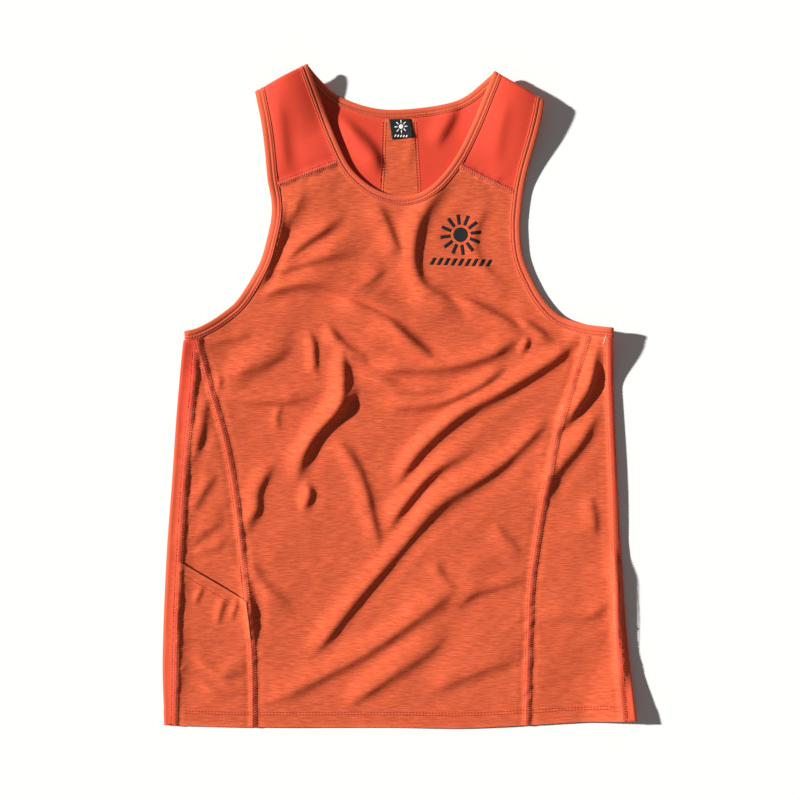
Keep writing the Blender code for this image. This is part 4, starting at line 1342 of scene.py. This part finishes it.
class SINGLET_OT_sides(bpy.types.Operator):
    """Make the side panels of the front, with the pocket's outer panel on one of them"""

    bl_idname = "singlet.sides"
    bl_label = "Side panels and pocket"

    def execute(self, context):
        sizes, colours = context.scene.singlet_sizes, context.scene.singlet_colours
        cell, cloth, knit = sizes.cell / MM, sizes.cloth / MM, jersey(colours)
        right_arm = moved_in(armhole_curves(1)[0], ARM_BINDING_WIDTH - TUCKED)
        a, b = hem_corner(RIGHT_PRINCESS, GAP), hem_corner(RIGHT_SIDE, -GAP)
        outer = seam(RIGHT_SIDE, -GAP, b[1], y_at(right_arm, RIGHT_SIDE[0][0] - GAP))
        inner = seam(RIGHT_PRINCESS, GAP, a[1], y_at(right_arm, RIGHT_PRINCESS[0][0] + GAP))
        top = across_between(right_arm, inner[-1, 0], outer[-1, 0])[::-1][1:-1]
        outline = np.vstack([hem_between(a[0], b[0]), outer, top, inner[::-1]])
        piece = shell("side_panel_right", outline, flat_surface("front"), cell, cloth, knit,
                      lines=seam_rows(), relief=front_relief)
        finish_sheet(["side_front_right"])

        top_height = LEFT_PRINCESS[0][1] - 1.5
        outer = seam(LEFT_SIDE, GAP, POCKET_FLOOR, top_height)
        inner = seam(LEFT_PRINCESS, -GAP, POCKET_FLOOR, top_height)
        outline = np.vstack([straight(outer[0], inner[0]), inner, outer[::-1]])
        piece = shell("side_panel_left", outline, flat_surface("front"), cell, cloth, knit,
                      lines=seam_rows(), relief=lambda middle, share: front_relief(middle, share)
                      * smoothstep((middle[:, 1] + 190) / 25))
        finish_sheet(["side_front_left"])

        a, b = hem_corner(LEFT_SIDE, GAP), hem_corner(LEFT_PRINCESS, -GAP)
        outer = seam(LEFT_SIDE, GAP, a[1], POCKET_MOUTH[0])
        inner = seam(LEFT_PRINCESS, -GAP, b[1], POCKET_MOUTH[1])
        mouth = straight(inner[-1], outer[-1])
        outline = np.vstack([hem_between(a[0], b[0]), inner, mouth, outer[::-1]])

        def pocket_relief(middle, share):
            x, y = middle[:, 0], middle[:, 1]
            fold = smoothstep((MOUTH_FOLD - mouth_depth(x, y)) / 1.5)
            return front_relief(middle, share) + MOUTH_FOLD_RISE * fold

        piece = shell("pocket_panel", outline, flat_surface("front", pocket_stand), cell, cloth, knit,
                      lines=seam_rows(), relief=pocket_relief)
        finish_sheet(["pocket_front_left"])
        return {"FINISHED"}


def turn_lines(side):
    """Rows of points along the turns of a back side piece, unfolded."""
    found = []
    for beyond in np.linspace(-TURN * 1.3, TURN * 1.3, 11):
        y = np.arange(-345.0, 62.0, 3.2)
        found.append(np.stack([edge_line(side, y) + side * (TURN / 2 + beyond), y], axis=1))
        neck, along, out = shoulder_line(side)
        steps = np.arange(-12.0, 84.0, 3.0)[:, None]
        found.append(neck + out * (TURN / 2 + beyond) + steps * along)
    return np.vstack(found)


def back_outline(side):
    """Outline of a back side piece, unfolded, from the centre-back seam round to it again."""
    arm_width, neck_width = ARM_BINDING_WIDTH - TUCKED, NECK_BINDING_WIDTH - TUCKED
    point, along, out = shoulder_line(side)
    arm_edge, back_edge = armhole_curves(side)
    arm, corner = arm_edge[-1], arm_edge[0]
    arm_turns = ((arm, out), (corner, (side, 0)))
    front_arm = moved_in(arm_edge, arm_width)
    back_arm = moved_in(back_edge, arm_width)[clear_of_turns(back_edge, arm_turns)]
    neck_edge = smooth_curve(FRONT_NECK, LINE_STEP)
    neck = moved_in(neck_edge, neck_width, NECK_CENTRE)[clear_of_turns(neck_edge, ((point, out),))]
    back_curve = smooth_curve(BACK_NECK, LINE_STEP)
    back_neck = moved_in(back_curve, neck_width, NECK_CENTRE)
    yoke = LEFT_YOKE if side < 0 else RIGHT_YOKE
    side_rows = LEFT_SIDE if side < 0 else RIGHT_SIDE
    centre_rows = LEFT_CENTRE_BACK if side < 0 else RIGHT_CENTRE_BACK
    low_side = hem_corner(side_rows, side * GAP)
    low_centre = hem_corner(centre_rows, side * GAP)
    top_side = y_at(front_arm, side_rows[0][0])
    front_side = over_side(seam(side_rows, side * GAP, low_side[1], top_side), side)
    hem = HEM_LINE[side * HEM_LINE[:, 0] > side * low_centre[0] + 1]
    hem = hem[side * hem[:, 0] < side * HEM_LINE[0 if side < 0 else -1, 0] - TURN - 1]
    hem = hem[::-1] if side < 0 else hem
    hem_end = HEM_LINE[0 if side < 0 else -1]
    hem_turn = turn_outline(hem_end, (0, 0), (side, 0), 0)[::-1]
    by_corner = front_arm[clear_of_turns(arm_edge, arm_turns)]
    by_corner = over_side(by_corner[side * (by_corner[:, 0] - side_rows[0][0]) > 0.8], side)[::-1]
    over_corner = turn_outline(corner, (0, -1), (side, 0), arm_width)
    over_arm = turn_outline(arm, -along, out, arm_width)[::-1]
    over_neck = turn_outline(point, along, out, neck_width)
    front_arm = front_arm[clear_of_turns(arm_edge, ((arm, out),))]
    front_arm = over_shoulder(between(front_arm, yoke[0] + GAP, front_arm[-1, 1]), side)[::-1]
    neck = neck[side * neck[:, 0] > 0]
    neck = over_shoulder(between(neck, yoke[1] + GAP, neck[:, 1].max()), side)
    centre_top = x_at(smooth_curve(centre_rows, LINE_STEP), CENTRE_BACK_TOP) + side * GAP
    top = np.array([centre_top, y_at(back_neck, centre_top)])
    beside_top = side * (back_neck[:, 0] - top[0]) > 1
    back_neck = back_neck[beside_top & clear_of_turns(back_curve, ((point, out),))]
    back_neck = back_neck[::-1] if side > 0 else back_neck
    centre = seam(centre_rows, side * GAP, low_centre[1], top[1] - 2)
    return np.vstack([
        hem, hem_turn, front_side, by_corner, over_corner, back_arm, over_arm, front_arm,
        straight(front_arm[-1], neck[0]), neck, over_neck, back_neck, [top], centre[::-1],
    ])


class SINGLET_OT_back(bpy.types.Operator):
    """Make the back: two red pieces that turn over sides and shoulders, and the strip between"""

    bl_idname = "singlet.back"
    bl_label = "Back and yokes"

    def execute(self, context):
        sizes, colours = context.scene.singlet_sizes, context.scene.singlet_colours
        cell, cloth = sizes.back_cell / MM, sizes.cloth / MM
        for side, word in ((-1, "left"), (1, "right")):
            outline = back_outline(side)
            piece = shell("back_panel_" + word, outline, wrapped_surface(side), cell, cloth,
                          red_knit(colours), -1, turn_lines(side), back_relief)
            finish_sheet(["back_" + word])
        neck_edge = smooth_curve(BACK_NECK, LINE_STEP)
        back_neck = moved_in(neck_edge, NECK_BINDING_WIDTH - TUCKED, NECK_CENTRE)
        a, b = hem_corner(LEFT_CENTRE_BACK, GAP), hem_corner(RIGHT_CENTRE_BACK, -GAP)
        tops = [x_at(smooth_curve(rows, LINE_STEP), CENTRE_BACK_TOP) + shift
                for rows, shift in ((LEFT_CENTRE_BACK, GAP), (RIGHT_CENTRE_BACK, -GAP))]
        top = across_between(back_neck, *tops)[::-1]
        outline = np.vstack([
            hem_between(a[0], b[0]), seam(RIGHT_CENTRE_BACK, -GAP, b[1], top[0, 1] - 2), top,
            seam(LEFT_CENTRE_BACK, GAP, a[1], top[-1, 1] - 2)[::-1],
        ])
        piece = shell("back_strip", outline, flat_surface("back"), cell, cloth, jersey(colours), -1,
                      relief=lambda middle, share: read_field("hem", middle[:, 0], middle[:, 1]))
        finish_sheet(["back_centre"])
        return {"FINISHED"}


class SINGLET_OT_bindings(bpy.types.Operator):
    """Make the neck and armhole bindings with their two rows of stitches"""

    bl_idname = "singlet.bindings"
    bl_label = "Bindings"

    def execute(self, context):
        sizes, colours = context.scene.singlet_sizes, context.scene.singlet_colours
        cloth, thread = binding_cloth(colours), spun("sewing_thread", colours)
        jobs = (
            ("neck", "neck_binding", neck_path(), NECK_BINDING_WIDTH, 3),
            ("armhole_left", "armhole_binding_left", arm_path(-1), ARM_BINDING_WIDTH, 4),
            ("armhole_right", "armhole_binding_right", arm_path(1), ARM_BINDING_WIDTH, 5),
        )
        for name, node, path, width, seed in jobs:
            piece, paths, zigzag, length = binding(
                "bound_" + name, path, sizes.binding / MM, cloth, seed)
            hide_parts(node)
            stitches = threads("stitches_" + name, paths, "binding", thread, sizes.pitch, sizes.thread)
            cover = threads("cover_" + name, zigzag, "binding", spun("looper_thread", colours),
                            *BINDING_COVER, sway=width * 0.13 * MM, fill=1.0)
        return {"FINISHED"}


class SINGLET_OT_seams(bpy.types.Operator):
    """Sew the covered seams of the front, the pocket mouth and the hem"""

    bl_idname = "singlet.seams"
    bl_label = "Seams and hem"

    def execute(self, context):
        sizes, colours = context.scene.singlet_sizes, context.scene.singlet_colours
        thread = spun("sewing_thread", colours)
        rise = sizes.cloth / MM / 2 + 0.12
        usual = (sizes.pitch, sizes.thread)
        for name, line in front_seams().items():
            yoke = "yoke" in name
            apart = YOKE_STITCHES if yoke else SEAM_STITCHES
            paths = rows_beside(line, (-apart, apart), rise - STITCH_SINK)
            threads("stitches_" + name, paths, "heather_jersey", thread, *usual)
            paths = rows_beside(line, (0.0,), rise - COVER_SINK, reach=3.0)
            cover = spun("looper_thread" if yoke else "seam_thread", colours)
            threads("cover_" + name, paths, "heather_jersey", cover, *SEAM_COVER,
                    sway=(apart - 0.5) * MM, fill=1.0)
        for name, rows in (("left", LEFT_CENTRE_BACK), ("right", RIGHT_CENTRE_BACK)):
            line = seam(rows, 0, hem_corner(rows, 0)[1] + 1, 290)
            paths = rows_beside(line, (-CENTRE_BACK_STITCHES, CENTRE_BACK_STITCHES), -rise, "back")
            line = line[line[:, 1] > INSIDE_NECK]
            paths += rows_beside(line, (-INSIDE_NECK_STITCHES, INSIDE_NECK_STITCHES), rise, "back")
            threads("stitches_back_" + name, paths, "red_knit", thread, *usual)
        hem = HEM_LINE[8:-8]
        paths = rows_beside(hem, HEM_STITCHES, rise) + rows_beside(hem, HEM_STITCHES, -rise, "back")
        threads("stitches_hem", paths, "heather_jersey", thread, *HEM_THREAD)
        start = np.array([x_at(smooth_curve(LEFT_SIDE, 3), POCKET_MOUTH[0]), POCKET_MOUTH[0]])
        end = np.array([x_at(smooth_curve(LEFT_PRINCESS, 3), POCKET_MOUTH[1]), POCKET_MOUTH[1]])
        line = np.vstack([[start], straight(start, end), [end]])[2:-2]
        paths = rows_beside(line, (MOUTH_STITCHES,), rise + 0.1)
        threads("stitches_pocket", paths, "heather_jersey", thread, *usual)
        tail = rows_beside(smooth_curve(THREAD_TAIL, 1.0), (0.0,), rise + 0.3)
        threads("thread_tail", tail, "label", spun("label_white", colours), *TAIL_THREAD, fill=1.1)
        return {"FINISHED"}


def laid_shapes(name, shapes, layer, rise, thick, material):
    """Thin flat shapes laid on a layer, joined as one piece."""
    corners, faces = [], []
    for outline in shapes:
        flat, triangles = triangulated(outline, spread(outline, 1.1), 1e-5)
        low, up = on_front(flat, rise, layer)
        faces += wall_faces(triangles, len(flat), sum(len(part) for part in corners))
        corners += [low + up * thick, low]
    return new_piece(name, np.vstack(corners), faces, material)


def with_sides(corners, step=1.0):
    """An outline through the corners, with points along its sides."""
    ends = np.roll(corners, -1, axis=0)
    return np.vstack([np.vstack([[p], straight(p, q, step)]) for p, q in zip(corners, ends)])


# The motif: the disc as a share of the radius, and the corners of a ray. Columns: share of the
# radius, angle from the ray's middle.
DISC = 0.36
RAY = ((0.5, -0.16), (0.5, 0.16), (1.0, 0.085), (1.0, -0.085))
DASH_WIDTH, DASH_SLANT = 0.52, 0.5  # a dash's width as a share of the pitch, and its slant


def sunburst(centre, radius, tilt, rays=12):
    """Outlines of a generic sunburst: a small disc with tapered rays round it."""
    angles = np.linspace(0, math.tau, 24, endpoint=False)
    found = [np.stack([np.cos(angles), np.sin(angles)], axis=1) * radius * DISC]
    for k in range(rays):
        middle = k * math.tau / rays + tilt
        ray = []
        for share, half in RAY:
            angle = middle - half
            ray.append((math.cos(angle) * share * radius, math.sin(angle) * share * radius))
        found.append(with_sides(np.array(ray)))
    return [shape + np.array(centre) for shape in found]


def slanted(centre, width, depth, tilt, slant):
    """Outline of a small slanted bar."""
    half = np.array([[-0.5, -0.5], [0.5, -0.5], [0.5, 0.5], [-0.5, 0.5]]) * (width, depth)
    half[:, 0] += half[:, 1] * slant
    c, s = math.cos(tilt), math.sin(tilt)
    outline = half @ np.array([[c, s], [-s, c]]) + np.array(centre)
    return with_sides(outline)


def dash_row(centre, width, depth, tilt, count):
    """Outlines of a row of slanted dashes."""
    pitch = width / count
    along = np.array([math.cos(tilt), math.sin(tilt)])
    middles = [np.array(centre) + along * pitch * (i - (count - 1) / 2) for i in range(count)]
    return [slanted(middle, pitch * DASH_WIDTH, depth, tilt, DASH_SLANT) for middle in middles]


class SINGLET_OT_marks(bpy.types.Operator):
    """Make the neck label and the generic motif printed on the chest"""

    bl_idname = "singlet.marks"
    bl_label = "Label and motif"

    def execute(self, context):
        sizes, colours = context.scene.singlet_sizes, context.scene.singlet_colours
        black = spun("print_black", colours)
        rise = sizes.cloth / MM / 2 + 0.07
        shapes = sunburst((64.5, 171.0), sizes.motif / MM / 2, 0.13)
        shapes += dash_row((65, 142.2), 66, 7.6, -0.035, 9)
        motif = laid_shapes("chest_motif", shapes, "front", rise, thick=0.12, material=black)
        woven, white = spun("label_black", colours), spun("label_white", colours)
        corners = np.array(LABEL, float)
        label = laid_shapes("woven_label", [with_sides(corners)], "back", rise + 0.25, 0.7, woven)
        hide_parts("neck_label")
        middle = corners.mean(axis=0)
        shapes = sunburst(middle + (0.1, 2.2), 7.0, 0.05, 8)
        shapes += dash_row(middle - (0, 7.6), 15, 2.2, -0.05, 5)
        mark = laid_shapes("label_mark", shapes, "back", rise + 0.97, 0.1, white)
        return {"FINISHED"}


class SINGLET_OT_stage(bpy.types.Operator):
    """Lay the table, light it from the left and look straight down"""

    bl_idname = "singlet.stage"
    bl_label = "Table, light and camera"

    def execute(self, context):
        scene, colours = context.scene, context.scene.singlet_colours
        mesh = bpy.data.meshes.new("studio_floor")
        corners = [(x * TABLE_HALF, y * TABLE_HALF, TABLE_HEIGHT)
                   for x, y in ((-1, -1), (1, -1), (1, 1), (-1, 1))]
        mesh.from_pydata(corners, [], [(0, 1, 2, 3)])
        floor = bpy.data.objects.new("studio_floor", mesh)
        scene.collection.objects.link(floor)
        material, _, shader = new_material("pale_floor", colours.floor, 0.1)
        shader.inputs["Base Color"].default_value = colours.floor
        shader.inputs["Roughness"].default_value = 0.95
        mesh.materials.append(material)

        key = bpy.data.lights.new("key", "SUN")
        key.energy = SUN_POWER
        key.angle = SUN_WIDTH
        key.color = (1.0, 0.985, 0.96)
        lamp = bpy.data.objects.new("key", key)
        lamp.rotation_euler = SUN_TURN
        scene.collection.objects.link(lamp)

        world = bpy.data.worlds.new("soft_room")
        world.use_nodes = True
        scene.world = world
        tree = world.node_tree
        fill = tree.nodes["Background"]
        fill.inputs["Color"].default_value = (1.0, 0.98, 0.96, 1)
        fill.inputs["Strength"].default_value = ROOM_POWER
        backdrop = add(tree.nodes, "ShaderNodeBackground", Color=(0.86, 0.86, 0.86, 1))
        path, pick = tree.nodes.new("ShaderNodeLightPath"), tree.nodes.new("ShaderNodeMixShader")
        link(tree, path.outputs["Is Camera Ray"], pick.inputs[0])
        link(tree, fill.outputs[0], pick.inputs[1])
        link(tree, backdrop.outputs[0], pick.inputs[2])
        link(tree, pick.outputs[0], tree.nodes["World Output"].inputs[0])

        lens = bpy.data.cameras.new("camera")
        lens.lens, lens.sensor_width = LENS, SENSOR
        camera = bpy.data.objects.new("camera", lens)
        camera.location = (*VIEW_CENTRE, VIEW_WIDTH * LENS / SENSOR + VIEW_PLANE)
        scene.collection.objects.link(camera)
        scene.camera = camera
        scene.view_settings.view_transform = "Standard"
        return {"FINISHED"}


class SINGLET_PT_panel(bpy.types.Panel):
    """Lists the sizes, the colours and the steps."""

    bl_idname = "SINGLET_PT_panel"
    bl_label = "Running singlet"
    bl_space_type = "VIEW_3D"
    bl_region_type = "UI"
    bl_category = "Singlet"

    def draw(self, context):
        for group in (context.scene.singlet_sizes, context.scene.singlet_colours):
            column = self.layout.column(align=True)
            for name in group.__annotations__:
                column.prop(group, name)
        for operator in OPERATORS:
            self.layout.operator(operator.bl_idname)


OPERATORS = (
    SINGLET_OT_form, SINGLET_OT_front, SINGLET_OT_sides, SINGLET_OT_back, SINGLET_OT_bindings,
    SINGLET_OT_seams, SINGLET_OT_marks, SINGLET_OT_stage,
)
CLASSES = (SingletSizes, SingletColours, *OPERATORS, SINGLET_PT_panel)


def register():
    for item in CLASSES:
        bpy.utils.register_class(item)
    bpy.types.Scene.singlet_sizes = bpy.props.PointerProperty(type=SingletSizes)
    bpy.types.Scene.singlet_colours = bpy.props.PointerProperty(type=SingletColours)


def unregister():
    del bpy.types.Scene.singlet_colours
    del bpy.types.Scene.singlet_sizes
    for item in reversed(CLASSES):
        bpy.utils.unregister_class(item)


def main():
    register()
    for operator in OPERATORS:
        group, name = operator.bl_idname.split(".")
        getattr(getattr(bpy.ops, group), name)()
    bpy.context.view_layer.update()


if __name__ == "__main__":
    main()
